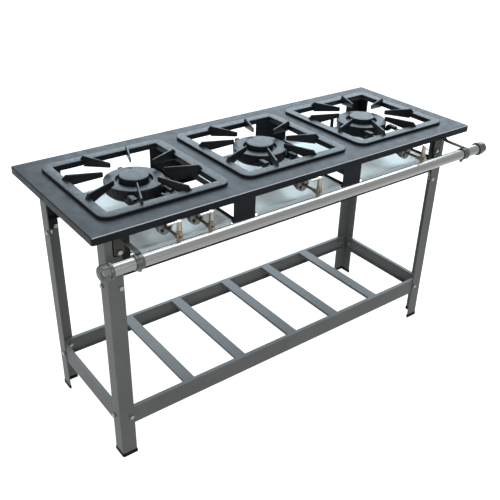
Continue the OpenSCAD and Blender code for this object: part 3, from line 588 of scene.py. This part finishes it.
def ringed(half, insets, levels, corners, steps=8):
    """Rings round a rectangle. Ring k is a rounded rectangle that lies inset by insets[k] from the half
    sides, at height levels[k], with corner radius corners[k]."""
    out, quarter = corner_arcs(steps)
    insets, levels, corners = (np.asarray(a, float)[:, None, None] for a in (insets, levels, corners))
    plan = (np.asarray(half)[None, None, :2] - insets - corners) * quarter + corners * out
    return np.concatenate([plan, np.broadcast_to(levels, plan.shape[:2] + (1,))], axis=2)


print("a ring has", len(corner_arcs(8)[0]), "points")

# %% [markdown]
# ## Bars
#
# A finger or a handle is a bar whose section changes on its way. Scaling a cube's ends gives straight
# tapers only. Here the width, top and bottom are given at as many places as the bar has bends, and one
# exponent sets how round the section is, from a box to an ellipse.

# %% Draw out a bar
def bar(stations, widths, tops, bottoms, softness, around=24):
    """Bar along X. At each station the section is the rounded rectangle
    y = w/2 cos^p, z = middle + h/2 sin^p, with p the softness and the signs kept."""
    angle = np.linspace(0, 2 * np.pi, around, endpoint=False)
    c, s = (np.sign(f) * np.abs(f) ** softness for f in (np.cos(angle), np.sin(angle)))
    stations, widths, tops, bottoms = (np.broadcast_to(a, np.shape(stations))[:, None]
                                       for a in (stations, widths, tops, bottoms))
    across = widths / 2 * c
    up = (tops + bottoms) / 2 + (tops - bottoms) / 2 * s
    return grid(shut(np.stack([stations + 0 * across, across, up], axis=2)), False, True)


print("a bar with two stations has", len(bar(np.array([0, 1]), 1, 1, 0, 0.3)[1]), "faces")

# %% [markdown]
# ## From arrays to pieces
#
# A real casting or tap is a few such shapes in one. They become one mesh, poles and doubled points are
# merged, and the normals are turned outwards. Shading is smooth up to a limit angle, so bends look soft
# and cut edges crisp. The piece stands for a part of the frame, rides with its body and takes its finish.

# %% Make a piece
MERGE_DISTANCE, TINY_EDGE = 1e-6, 1e-7
body_of = {part: body for body, parts in frame["record"]["behaviour"]["bodies"].items() for part in parts}


def moved(shape, offset, spin=0.0):
    """Shape turned by spin about Z and then shifted."""
    points, faces = shape
    c, s = math.cos(spin), math.sin(spin)
    return points @ np.array([(c, s, 0), (-s, c, 0), (0, 0, 1)]) + np.asarray(offset), faces


def middle(node):
    """Middle of a node's box."""
    return np.mean(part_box(node), axis=0)


def make_piece(name, shapes, node, sharp=38):
    """One object from several shapes. It stands for a node, rides with that node's body and takes its
    finish. Edges bent by more than the sharp angle stay crisp."""
    starts = np.cumsum([0] + [len(points) for points, _ in shapes])
    points = np.concatenate([points for points, _ in shapes])
    faces = np.concatenate([faces + start for (_, faces), start in zip(shapes, starts)])
    mesh = bpy.data.meshes.new(name)
    mesh.from_pydata(points.tolist(), [], faces.tolist())
    work = bmesh.new()
    work.from_mesh(mesh)
    bmesh.ops.remove_doubles(work, verts=work.verts, dist=MERGE_DISTANCE)
    bmesh.ops.dissolve_degenerate(work, edges=work.edges, dist=TINY_EDGE)
    bmesh.ops.recalc_face_normals(work, faces=work.faces)
    work.to_mesh(mesh)
    work.free()
    mesh.shade_smooth()
    mesh.set_sharp_from_angle(angle=math.radians(sharp))
    mesh.materials.append(BY_SLOT[slot_of[node]])
    piece = bpy.data.objects.new(name, mesh)
    scene.collection.objects.link(piece)
    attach(piece, body_of[node])
    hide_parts(node)
    print(name, len(mesh.polygons), "faces")


print(len(body_of), "nodes have a body to ride with")

# %% [markdown]
# ## Trivets
#
# A trivet is one casting: a flat square rim with a locating collar under it, and eight fingers that
# taper towards the flame. A bevelled box would round all edges alike, but a pattern maker gives the rim's
# top a large radius and its underside hardly any. So the rim is an outline with a reach for each corner.

# %% Shape the trivet's rim
RIM_WIDTH, RIM_THICK, RIM_CORNER = 0.032, 0.008, 0.034
COLLAR_WIDTH, COLLAR_DROP = 0.006, 0.009


def trivet_rim(half):
    """Rim and collar, from the opening outwards."""
    inner = RIM_CORNER - RIM_WIDTH
    collar = inner + COLLAR_WIDTH
    outline = eased([(inner, -COLLAR_DROP, 0.001), (collar, -COLLAR_DROP, 0.001), (collar, 0, 0.0005),
                     (RIM_CORNER, 0, 0.001), (RIM_CORNER, RIM_THICK, 0.0026), (inner, RIM_THICK, 0.003)])
    return framed(outline, half, RIM_CORNER)


print("rim of", len(trivet_rim(0.2)[1]), "faces")

# %% [markdown]
# ## Fingers
#
# Each finger is a blade on edge, thick and deep at the rim and slender at the flame, and its outer end
# slopes down onto the rim. A bar does this when its width, top and bottom are functions of the place
# along it. Places lie close together only where something bends.

# %% Cast the trivets
FINGERS, FINGER_RISE, TIP_RADIUS = 8, 0.013, 0.086
TIP_WIDTH, ROOT_WIDTH, TIP_DEPTH, ROOT_DEPTH = 0.0045, 0.0075, 0.015, 0.035
NOSE = np.array([0, 0.0004, 0.0012, 0.0026])            # places along the rounded tip
NOSE_DROP, NOSE_LIFT, NOSE_PINCH = 0.0022, 0.002, 0.35  # how its top, bottom and sides round off
BLADE_START, CROWN_STEP, FINGER_SOFTNESS = 0.006, 0.002, 0.32
CROWN_OUT, END_OUT = 0.001, 0.013                       # the slope's start and end, past the foot
END_SINK, FOOT_SINK = 0.0008, 0.004                     # depth of the end's top and bottom in the rim


def trivet_finger(half):
    """One finger along X. Its foot meets the collar, and its slope ends 13 mm further out. The places
    along it run from 0 at the tip to 1 at the foot, and its sizes change in step with them."""
    collar = half - RIM_WIDTH + COLLAR_WIDTH / 2
    foot = collar / math.cos(math.pi / FINGERS)
    crown, end = foot + CROWN_OUT, foot + END_OUT
    blade = np.linspace(TIP_RADIUS + BLADE_START, crown - CROWN_STEP, 8)
    x = np.concatenate([TIP_RADIUS + NOSE, blade, [crown, crown + CROWN_STEP, end]])
    along = (x - TIP_RADIUS) / (foot - TIP_RADIUS)
    nose = np.clip(1 - (x - TIP_RADIUS) / NOSE[-1], 0, 1) ** 2
    slope = np.clip((x - crown) / (end - crown), 0, 1)
    top = RIM_THICK + FINGER_RISE * (1 - slope) - NOSE_DROP * nose - END_SINK * slope
    depth = TIP_DEPTH + (ROOT_DEPTH - TIP_DEPTH) * np.minimum(along, 1)
    hanging = RIM_THICK + FINGER_RISE - depth + NOSE_LIFT * nose
    bottom = np.where(x > foot, RIM_THICK - FOOT_SINK, hanging)
    width = (TIP_WIDTH + (ROOT_WIDTH - TIP_WIDTH) * along) * (1 - NOSE_PINCH * nose)
    return bar(x, width, top, bottom, FINGER_SOFTNESS)


for side in ("left", "middle", "right"):
    node = "trivet_" + side
    low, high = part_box(node)
    half = (high[0] - low[0]) / 2
    seat = middle(node) * (1, 1, 0) + (0, 0, high[2] - RIM_THICK - FINGER_RISE)
    finger = trivet_finger(half)
    cast = [moved(trivet_rim(half), seat)]
    cast += [moved(finger, seat, (k + 0.5) * 2 * math.pi / FINGERS) for k in range(FINGERS)]
    make_piece("cast_" + node, cast, node)

# %% [markdown]
# ## Burner rings
#
# The flame ring is a turned casting with a low ledge round its bore and flame ports sawn into its lower
# edge. Boolean cuts would leave ragged faces round 36 tiny slots. Here the radius simply dips wherever
# the angle falls inside a slot and the height is below its top.

# %% Shape the burner ring
RING_PORTS, CAP_PORTS = 36, 20
PORT_WIDTH, PORT_HEIGHT, PORT_DEPTH, PORT_BAND = 0.0024, 0.003, 0.006, 0.003
RING_BORE, WELL_RADIUS, WELL_SLANT, LEDGE = 0.046, 0.0545, 0.002, 0.003
RING_STEPS, CAP_STEPS = 8, 10       # points round the casting for each of its ports
PORT_SHARP = 50         # a bend above this angle stays crisp, as at the ports
TINY = 1e-6


def ported(count):
    """Radius rule with count slots round the lower edge of a casting. It moves the outline's points in
    the outermost band, below the slots' height, inwards by the slots' depth."""
    def rule(angle, radius, height):
        turn = (angle * count / (2 * np.pi) + 0.5) % 1 - 0.5
        outer = radius.max()
        slot = np.abs(turn) * 2 * np.pi / count * outer < PORT_WIDTH / 2
        cut = slot & (height < PORT_HEIGHT) & (height > -TINY) & (radius > outer - PORT_BAND)
        return np.where(cut, outer - PORT_DEPTH, radius)
    return rule


def burner_ring(side):
    """Ring from its bore outwards, over the rounded outer edge and down the well to the ledge."""
    low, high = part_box("burner_ring_" + side)
    outer, thick = (high[0] - low[0]) / 2, high[2] - low[2]
    outline = eased([(RING_BORE, 0, 0.0005), (outer, 0, 0.0005), (outer, PORT_HEIGHT, 0.0002),
                     (outer, thick, 0.0025), (WELL_RADIUS, thick, 0.0012),
                     (WELL_RADIUS - WELL_SLANT, LEDGE, 0.001), (RING_BORE, LEDGE, 0.0005)])
    seat = middle("burner_ring_" + side) * (1, 1, 0) + low[2] * Z
    return turned(outline, seat, Z, X, RING_STEPS * RING_PORTS, ported(RING_PORTS))


print("a ring has", RING_PORTS, "ports")

# %% [markdown]
# ## Burner caps
#
# The cap in the middle is a flat disc with a hollow spigot that drops into the bowl, and it has the same
# kind of ports. It could be cut from a cylinder, but turned by the same rule as the ring it matches it.

# %% Cast the burner rings and caps
SPIGOT, SPIGOT_WALL, SPIGOT_INSET, CAP_ROOF = 0.008, 0.003, 0.0065, 0.005
TOP_CIRCLE = 0.4        # radius of a circle of points on the flat top, as a share of the cap's


def burner_cap(side):
    """Cap from its hollow outwards, down and up the spigot, and over the rounded edge to the middle.
    It stands where the ring's axis is."""
    low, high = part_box("burner_cap_" + side)
    outer, rise = (high[0] - low[0]) / 2, high[2] - low[2] - SPIGOT
    spigot = outer - SPIGOT_INSET
    bore, roof = spigot - SPIGOT_WALL, rise - CAP_ROOF
    outline = eased([(0, roof, 0), (bore, roof, 0.001), (bore, -SPIGOT, 0.0005), (spigot, -SPIGOT, 0.0005),
                     (spigot, 0, 0.0003), (outer, 0, 0.0004), (outer, PORT_HEIGHT, 0.0002),
                     (outer, rise, 0.0028), (outer * TOP_CIRCLE, rise, 0), (0, rise, 0)])
    seat = middle("burner_ring_" + side) * (1, 1, 0) + (low[2] + SPIGOT) * Z
    return turned(outline, seat, Z, X, CAP_STEPS * CAP_PORTS, ported(CAP_PORTS))


for side in ("left", "middle", "right"):
    make_piece("cast_burner_ring_" + side, [burner_ring(side)], "burner_ring_" + side, PORT_SHARP)
    make_piece("cast_burner_cap_" + side, [burner_cap(side)], "burner_cap_" + side, PORT_SHARP)

# %% [markdown]
# ## Drip trays
#
# A drip tray is pressed from one sheet: a flat rim, a sloping wall with soft bends, and a floor that
# falls a little towards its middle. A bevelled box would have the bends but not the fall. Rings round a
# rectangle describe it all: they run from the middle of the floor out to the rim and back underneath, one
# sheet thickness lower.

# %% Press the tray
TRAY_SHEET, TRAY_RIM, TRAY_SLOPE, TRAY_SAG = 0.001, 0.009, 0.016, 0.0015
EDGE_INSET, EDGE_DROP, EDGE_SHEET, BEND_START = 0.0006, 0.0003, 0.0004, 0.003
FLOOR_RINGS = np.array([0.012, 0.05, 0.10])     # how far the floor's rings lie from the wall
SAG_SHARES = np.array([0, 0.6, 1.0])            # how much of the sag each of them has
RIM_CORNERS, FLOOR_CORNERS = [0.006, 0.0055, 0.005], [0.005, 0.004, 0.003]
WALL_CORNER, WALL_CORNER_FALL = 0.010, 0.004


def pressed_tray(half, depth):
    """Rim, wall and floor as one sheet. Along the wall the level follows a smooth step of the distance
    from the rim, 3t^2 - 2t^3, so both bends are soft."""
    t = np.linspace(0, 1, 9)
    wall = TRAY_RIM + TRAY_SLOPE * t
    insets = np.concatenate([[0, EDGE_INSET, TRAY_RIM - BEND_START], wall, wall[-1] + FLOOR_RINGS])
    step = 3 * t ** 2 - 2 * t ** 3
    drop = depth - TRAY_SHEET - TRAY_SAG
    tops = np.concatenate([[-EDGE_DROP, 0, 0], -drop * step, -drop - TRAY_SAG * SAG_SHARES])
    corners = np.concatenate([RIM_CORNERS, WALL_CORNER - WALL_CORNER_FALL * t, FLOOR_CORNERS])
    under = tops - TRAY_SHEET
    under[0] = tops[0] - EDGE_SHEET
    insets = np.concatenate([insets[::-1], insets])
    levels = np.concatenate([tops[::-1], under])
    corners = np.concatenate([corners[::-1], corners])
    return grid(shut(ringed(half, insets, levels, corners)), False, True)


print("the floor falls", 1000 * TRAY_SAG, "mm")

# %% [markdown]
# ## Front lips
#
# The front edge of a tray is turned down, which stiffens it and gives the hand something to pull. The
# rings could carry on round the bend, but then on all four sides. So the lip is a thin upright plate of
# its own, and its soft top edge meets the rim.

# %% Turn down the front edges
LIP_SHEET, LIP_INSET, LIP_SOFTNESS = 0.0012, 0.006, 0.2


def front_lip(half, depth):
    """Upright plate along the front edge, from the rim down to the level of the floor."""
    ends = np.array([-1, 1]) * (half[0] - LIP_INSET)
    plate = bar(ends, LIP_SHEET, 0.0, EDGE_DROP - depth, LIP_SOFTNESS)
    return moved(plate, (LIP_SHEET / 2 - half[1]) * Y)


for side in ("left", "middle", "right"):
    node = "drip_tray_" + side
    low, high = (np.array(corner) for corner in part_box(node))
    half, depth = (high - low) / 2, high[2] - low[2]
    seat = middle(node) * (1, 1, 0) + high[2] * Z
    tray = [moved(shape, seat) for shape in (pressed_tray(half, depth), front_lip(half, depth))]
    make_piece("pressed_" + node, tray, node)

# %% [markdown]
# ## Pipe caps
#
# The pipe is closed by malleable-iron caps: a round bead at the mouth, six soft flats for the wrench and
# a domed end. Cutting a hexagon and bevelling it would leave hard lines between flats and dome. A rounded
# minimum of the turned radius and the hexagon blends one into the other, as on the casting.

# %% Shape the pipe caps
pipe_axis = middle("gas_pipe")
PIPE_BORE, SOCKET_DEPTH = 0.01695, 0.020
BEAD, BEAD_LENGTH = 0.0224, 0.008
CAP_FLAT, CAP_WAIST, CAP_BELLY, CAP_SHOULDER, CAP_DOME = 0.0189, 0.0212, 0.0216, 0.0175, 0.011
WAIST_PAST, FLATS_PAST = 0.001, 0.0015      # measured outwards from the bead
BELLY_BACK, SHOULDER_BACK = 0.009, 0.0022   # measured back from the dome's end
ROUND_SHARE, LEAST_RADIUS = 0.6, 1e-5       # the dome's middle, as a share of the flats, stays round


def soft_hexagon(flat, start, power=28.0):
    """Radius rule for a hexagon with soft corners above the height start. Its radius is the rounded
    minimum (r^-p + g^-p)^(-1/p) of the outline's r and the hexagon's g. The dome's middle stays round."""
    def rule(angle, radius, height):
        round_part = np.maximum(radius, LEAST_RADIUS) ** -power
        soft = (round_part + hexagon(angle, flat) ** -power) ** (-1 / power)
        return np.where((height > start) & (radius > flat * ROUND_SHARE), soft, radius)
    return rule


def inner_end(low, high, sign):
    """Point of the pipe's axis at that end of a box which faces the middle of the range."""
    return pipe_axis * (0, 1, 1) + (low[0] if sign > 0 else high[0]) * X


def pipe_cap(side, sign):
    """Cap from the bottom of its socket out to the bead, and along the flats to the dome."""
    low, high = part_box("pipe_cap_" + side)
    length = high[0] - low[0]
    outline = eased([(0, SOCKET_DEPTH, 0), (PIPE_BORE, SOCKET_DEPTH, 0.0005), (PIPE_BORE, 0, 0.001),
                     (BEAD, 0, 0.0026), (BEAD, BEAD_LENGTH, 0.0026),
                     (CAP_WAIST, BEAD_LENGTH + WAIST_PAST, 0.001), (CAP_BELLY, length - BELLY_BACK, 0.004),
                     (CAP_SHOULDER, length - SHOULDER_BACK, 0.004), (CAP_DOME, length, 0.004),
                     (0, length, 0)], steps=7)
    flats = soft_hexagon(CAP_FLAT, BEAD_LENGTH + FLATS_PAST)
    return turned(outline, inner_end(low, high, sign), sign * X, Z, steps=96, reshape=flats)


print("the pipe's axis is", round(float(pipe_axis[2]), 3), "m above the floor")

# %% [markdown]
# ## Clamp rings
#
# Each bracket holds the pipe in a cast ring with a bead at its outer end. A boss under the ring takes a
# set screw. Joining the two with a Boolean would only hide faces that nobody sees. So both are turned
# round their own axes and go into one piece as they are.

# %% Cast the caps and clamp rings
CLAMP_OUT, CLAMP_DIP, CLAMP_BEAD = 0.0204, 0.0012, 0.0008
DIP_START, DIP_BACK, BEAD_BACK = 0.009, 0.0075, 0.006       # measured back from the outer end
BOSS_RADIUS, BOSS_DROP, BOSS_HEIGHT, SCREW_HOLE = 0.006, 0.004, 0.0058, 0.0031


def screw_foot(side):
    """Lowest point of the boss under a clamp ring."""
    return middle("pipe_bracket_" + side) * X + pipe_axis * (0, 1, 1) - (CLAMP_OUT + BOSS_DROP) * Z


def clamp_ring(side, sign):
    """Plain ring, a small groove, and the bead at the outer end."""
    low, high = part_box("pipe_clamp_" + side)
    length = high[0] - low[0]
    bead = CLAMP_OUT + CLAMP_BEAD
    outline = eased([(PIPE_BORE, 0, 0.0005), (CLAMP_OUT, 0, 0.001),
                     (CLAMP_OUT, length - DIP_START, 0.0012),
                     (CLAMP_OUT - CLAMP_DIP, length - DIP_BACK, 0.001), (bead, length - BEAD_BACK, 0.0012),
                     (bead, length, 0.0014), (PIPE_BORE, length, 0.0006)], steps=6)
    return turned(outline, inner_end(low, high, sign), sign * X, Z, steps=72)


def screw_boss(side):
    """Short upright tube for the set screw."""
    outline = eased([(SCREW_HOLE, 0, 0.0003), (BOSS_RADIUS, 0, 0.0008), (BOSS_RADIUS, BOSS_HEIGHT, 0.0004),
                     (SCREW_HOLE, BOSS_HEIGHT, 0.0003)], steps=4)
    return turned(outline, screw_foot(side), Z, X, steps=32)


for side, sign in (("left", -1), ("right", 1)):
    make_piece("cast_pipe_cap_" + side, [pipe_cap(side, sign)], "pipe_cap_" + side)
    make_piece("cast_pipe_clamp_" + side, [clamp_ring(side, sign), screw_boss(side)], "pipe_clamp_" + side)

# %% [markdown]
# ## Taps
#
# A gas tap is turned from brass bar. Its middle is a barrel with a waist and a socket for the spindle,
# and a hexagonal gland above it. Both are outlines on the handle's axis. An outline says more than a
# stack of cylinders, because the bevels and the slopes of the waist belong to it.

# %% Shape the barrel and its gland
FIT_GAP = 0.0001
BARREL, BARREL_LOW, BARREL_TOP, BARREL_FACE = 0.009, -0.009, 0.014, 0.0075
BARREL_BEVEL, WAIST_DEPTH, WAIST_LOW, WAIST_TOP, WAIST_SLOPE = 0.0015, 0.0008, -0.006, 0.008, 0.001
SPINDLE, SOCKET_LOW = 0.004, -0.003
GLAND, GLAND_RADIUS, GLAND_TOP_RADIUS, GLAND_BEVEL, GLAND_FLATS = 0.007, 0.0081, 0.0068, 0.0012, 0.014


def tap_barrel(tap):
    """Barrel from its bevelled foot up over the waist, and down the spindle's socket."""
    waist = BARREL - WAIST_DEPTH
    socket = SPINDLE + FIT_GAP
    outline = eased([(0, BARREL_LOW, 0), (BARREL - BARREL_BEVEL, BARREL_LOW, 0.0004),
                     (BARREL, BARREL_LOW + BARREL_BEVEL, 0.0004), (BARREL, WAIST_LOW, 0.0004),
                     (waist, WAIST_LOW + WAIST_SLOPE, 0.0004), (waist, WAIST_TOP - WAIST_SLOPE, 0.0006),
                     (BARREL, WAIST_TOP, 0.0006), (BARREL, BARREL_TOP, 0.0008),
                     (BARREL_FACE, BARREL_TOP, 0.0002), (socket, BARREL_TOP, 0.0002),
                     (socket, SOCKET_LOW, 0.0002), (0, SOCKET_LOW, 0)], steps=4)
    return turned(outline, tap, Z, X)


def tap_gland(tap):
    """Hexagonal gland on the barrel, with a turned-off top."""
    socket, top = SPINDLE + FIT_GAP, BARREL_TOP + GLAND
    outline = eased([(socket, BARREL_TOP, 0.0002), (GLAND_RADIUS, BARREL_TOP, 0.0002),
                     (GLAND_RADIUS, top - GLAND_BEVEL, 0.0004), (GLAND_TOP_RADIUS, top, 0.0004),
                     (socket, top, 0.0003)], steps=4)
    return turned(outline, tap, Z, X, reshape=hexagonal(GLAND_FLATS / 2))


print("a barrel is", round(1000 * (BARREL_TOP - BARREL_LOW), 1), "mm tall")

# %% [markdown]
# ## Stubs and bosses
#
# A stub with a nut leads from the pipe up to the barrel, and a boss towards the burner takes the jet. One
# could model a whole tap and copy it, but each is built from the axes that its handle and the pipe give,
# so tap and pipe always meet.

# %% Turn the taps
STUB, STUB_START, STUB_END = 0.006, 0.0145, 0.0268
STUB_NUT_FLATS, STUB_NUT_START, STUB_NUT_END = 0.0125, 0.0172, 0.0200
TAP_BOSS, BOSS_ROOT, BOSS_START, BOSS_REACH = 0.0065, 0.0045, 0.006, 0.017
JET_RADIUS, JET_SOCKET = 0.004, 0.011
turn_point = {row["name"]: np.array(row["pos_m"]) for row in frame["record"]["behaviour"]["joints"]
              if row.get("pos_m")}


def tap_boss(tap):
    """Boss towards the burner, hollow for the jet."""
    socket = JET_RADIUS + FIT_GAP
    outline = eased([(socket, JET_SOCKET, 0.0002), (socket, BOSS_REACH, 0.0004),
                     (TAP_BOSS, BOSS_REACH, 0.0008), (TAP_BOSS, BOSS_START, 0.0002),
                     (BOSS_ROOT, BOSS_START, 0.0002)], steps=4)
    return turned(outline, tap, Y, X, steps=32)


for k in (1, 2, 3, 4):
    tap = turn_point["tap_%d_turn" % k]
    pipe_point = pipe_axis * (0, 1, 1) + tap * (1, 0, 0)
    aim = (tap - pipe_point) / np.linalg.norm(tap - pipe_point)
    stub = rod(STUB, STUB_START, STUB_END, pipe_point, aim, X)
    stub_nut = hex_head(STUB_NUT_FLATS, STUB_NUT_START, STUB_NUT_END, pipe_point, aim, X)
    make_piece("turned_tap_%d" % k, [tap_barrel(tap), tap_gland(tap), stub, stub_nut, tap_boss(tap)],
               "tap_body_%d" % k)

# %% [markdown]
# ## Handles
#
# The plated handle is a flat bar on a long skirt that hides the gland. The bar tapers towards a round
# nose, which a scaled and bevelled box gets wrong at the ends. Here the width follows a quarter circle
# near both ends. The last tap stands partly open, so its handle is made turned by that angle.

# %% Forge the handles
LAST_TURN = math.radians(62)
BAR_LENGTH, BAR_WIDTH, BAR_TOP, BAR_THICK = 0.036, 0.0074, 0.050, 0.0048
NOSE_PLACES = np.array([0, 0.0003, 0.0010, 0.0022, 0.004, 0.012, 0.024])
TAIL_PLACES = [-0.004, 0.0025, 0.0052, 0.0062]
ROUND_LENGTH, TAIL_END, BAR_SOFTNESS = 0.004, 0.0064, 0.45
NOSE_WIDTH, LEAST_WIDTH, LEAST_THICK = 0.85, 0.25, 0.55     # as shares of the bar's full size
SKIRT, SKIRT_MOUTH, SKIRT_NECK = 0.0072, 0.0060, 0.0062
SKIRT_LOW, SKIRT_LIP, SKIRT_FLARE, NECK_START, KNOB = 0.0225, 0.0235, 0.026, 0.041, 0.0006
STEM_LOW, STEM_TOP = -0.002, 0.026


def quarter_round(distance):
    """Share of the full size at a distance from an end: sqrt(1 - (1 - d/length)^2), and 1 beyond."""
    return np.sqrt(1 - (1 - np.clip(distance / ROUND_LENGTH, 0, 1)) ** 2)


def handle_bar():
    """Flat bar that points to -X from the spindle, tapering towards its nose."""
    x = np.concatenate([NOSE_PLACES - BAR_LENGTH, TAIL_PLACES])
    round_off = quarter_round(x + BAR_LENGTH) * quarter_round(TAIL_END - x)
    taper = NOSE_WIDTH + (1 - NOSE_WIDTH) * np.clip((x + BAR_LENGTH) / BAR_LENGTH, 0, 1)
    width = BAR_WIDTH * taper * (LEAST_WIDTH + (1 - LEAST_WIDTH) * round_off)
    thick = BAR_THICK * (LEAST_THICK + (1 - LEAST_THICK) * round_off)
    centre = BAR_TOP - BAR_THICK / 2
    return bar(x, width, centre + thick / 2, centre - thick / 2, BAR_SOFTNESS)


def handle_skirt():
    """Skirt that flares a little towards the gland."""
    outline = eased([(0, SKIRT_LIP, 0), (SKIRT_MOUTH, SKIRT_LIP, 0.0003), (SKIRT, SKIRT_LOW, 0.0008),
                     (SKIRT, SKIRT_FLARE, 0.002), (SKIRT_NECK, NECK_START, 0.003),
                     (SKIRT_NECK, BAR_TOP + KNOB, 0.0012), (0, BAR_TOP + KNOB, 0)], 5)
    return turned(outline, (0, 0, 0), Z, X)


for k in (1, 2, 3, 4):
    spin = LAST_TURN if k == 4 else 0.0
    stem = rod(SPINDLE, STEM_LOW, STEM_TOP, (0, 0, 0), Z, X)
    spot = turn_point["tap_%d_turn" % k]
    forged = [moved(shape, spot, spin) for shape in (handle_bar(), handle_skirt(), stem)]
    make_piece("forged_tap_handle_%d" % k, forged, "tap_handle_%d" % k)

# %% [markdown]
# ## Jets
#
# A brass jet screws into each tap's boss: a nose with a fine bore that points into the mixing tube, and
# a hexagon for the spanner. They are turned as the taps are. All four belong to one part of the frame,
# so they become one piece instead of four.

# %% Turn the jets
JET_BORE, JET_TIP, JET_SHOULDER, JET_START = 0.0006, 0.0022, 0.006, 0.0113
JET_FLATS, NUT_START, NUT_LENGTH = 0.011, 0.0173, 0.007


def jet(tap, reach):
    """Nose from the boss to its reach, narrowing over its last 6 mm, and its hexagon."""
    outline = eased([(JET_BORE, JET_START, 0.0001), (JET_RADIUS, JET_START, 0.0003),
                     (JET_RADIUS, reach - JET_SHOULDER, 0.001), (JET_TIP, reach, 0.0006),
                     (JET_BORE, reach, 0.0001)], steps=4)
    return [turned(outline, tap, Y, X, steps=32),
            hex_head(JET_FLATS, NUT_START, NUT_START + NUT_LENGTH, tap, Y, X)]


jets = []
for k in (1, 2, 3, 4):
    tap = turn_point["tap_%d_turn" % k]
    jets += jet(tap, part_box("injectors")[1][1] - tap[1])
make_piece("turned_jets", jets, "injectors")

# %% [markdown]
# ## Bolts
#
# Every corner has two bolts, one on each face, at each of two levels. A bolt is a hexagonal head with
# turned-off corners, a washer face, a shank and a nut. A cut thread would add thousands of faces to each
# for a detail too fine to see, so the shanks stay plain.

# %% Make the bolts of the frame
HEAD, NUT, SHANK, BOLT_FLATS = 0.0053, 0.006, 0.004, 0.013
WASHER_FACE, WASHER_THICK, WASHER_EASE, HEAD_START = 0.0062, 0.0005, 0.0001, -0.0004
SHANK_START, SHANK_PAST, SHANK_EASE = -0.0002, 0.002, 0.0008
FRAME_GRIP, BOLT_LEVELS, FLANGE_MID = 0.005, (0.609, 0.1475), 0.037


def bolt(seat, along, grip, sideways):
    """Head below the seat, shank through the grip, nut beyond it."""
    return [hex_head(BOLT_FLATS, -HEAD, HEAD_START, seat, along, sideways),
            rod(WASHER_FACE, -WASHER_THICK, 0.0, seat, along, sideways, WASHER_EASE, 48),
            rod(SHANK, SHANK_START, grip + NUT + SHANK_PAST, seat, along, sideways, SHANK_EASE),
            hex_head(BOLT_FLATS, grip, grip + NUT, seat, along, sideways)]


leg_low, leg_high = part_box("leg_front_left")[0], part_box("leg_rear_right")[1]
bolts = []
for cx, inward_x in ((leg_low[0], X), (leg_high[0], -X)):
    for cy, inward_y in ((leg_low[1], Y), (leg_high[1], -Y)):
        for level in BOLT_LEVELS:
            corner = np.array((cx, cy, level))
            bolts += bolt(corner + FLANGE_MID * inward_x, inward_y, FRAME_GRIP, X)
            bolts += bolt(corner + FLANGE_MID * inward_y, inward_x, FRAME_GRIP, Y)
make_piece("frame_bolt_set", bolts, "frame_bolts")

# %% [markdown]
# ## Bracket bolts
#
# A bolt holds each bracket's pad to the corner post behind it, and a set screw stands in the boss under
# each clamp ring. The same bolt function makes the first, and a rod with a hexagon under it the second.

# %% Make the bolts of the brackets
PAD_GRIP, PAD_HEIGHT = 0.008, 0.010
PAD_FACE = 0.001        # how far a pad's front stands before the legs' fronts
SCREW_RADIUS, SCREW_LENGTH, SCREW_HEAD, SCREW_FLATS = 0.003, 0.0075, 0.005, 0.010

pad_y = leg_low[1] - PAD_FACE
pad_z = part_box("pipe_bracket_left")[0][2] + PAD_HEIGHT
pad_bolts = []
for side in ("left", "right"):
    seat = middle("pipe_bracket_" + side) * X + pad_y * Y + pad_z * Z
    pad_bolts += bolt(seat, Y, PAD_GRIP, X)
    pad_bolts.append(rod(SCREW_RADIUS, 0, SCREW_LENGTH, screw_foot(side), Z, X))
    pad_bolts.append(hex_head(SCREW_FLATS, -SCREW_HEAD, 0.0, screw_foot(side), Z, X))
make_piece("bracket_bolt_set", pad_bolts, "bracket_bolts")
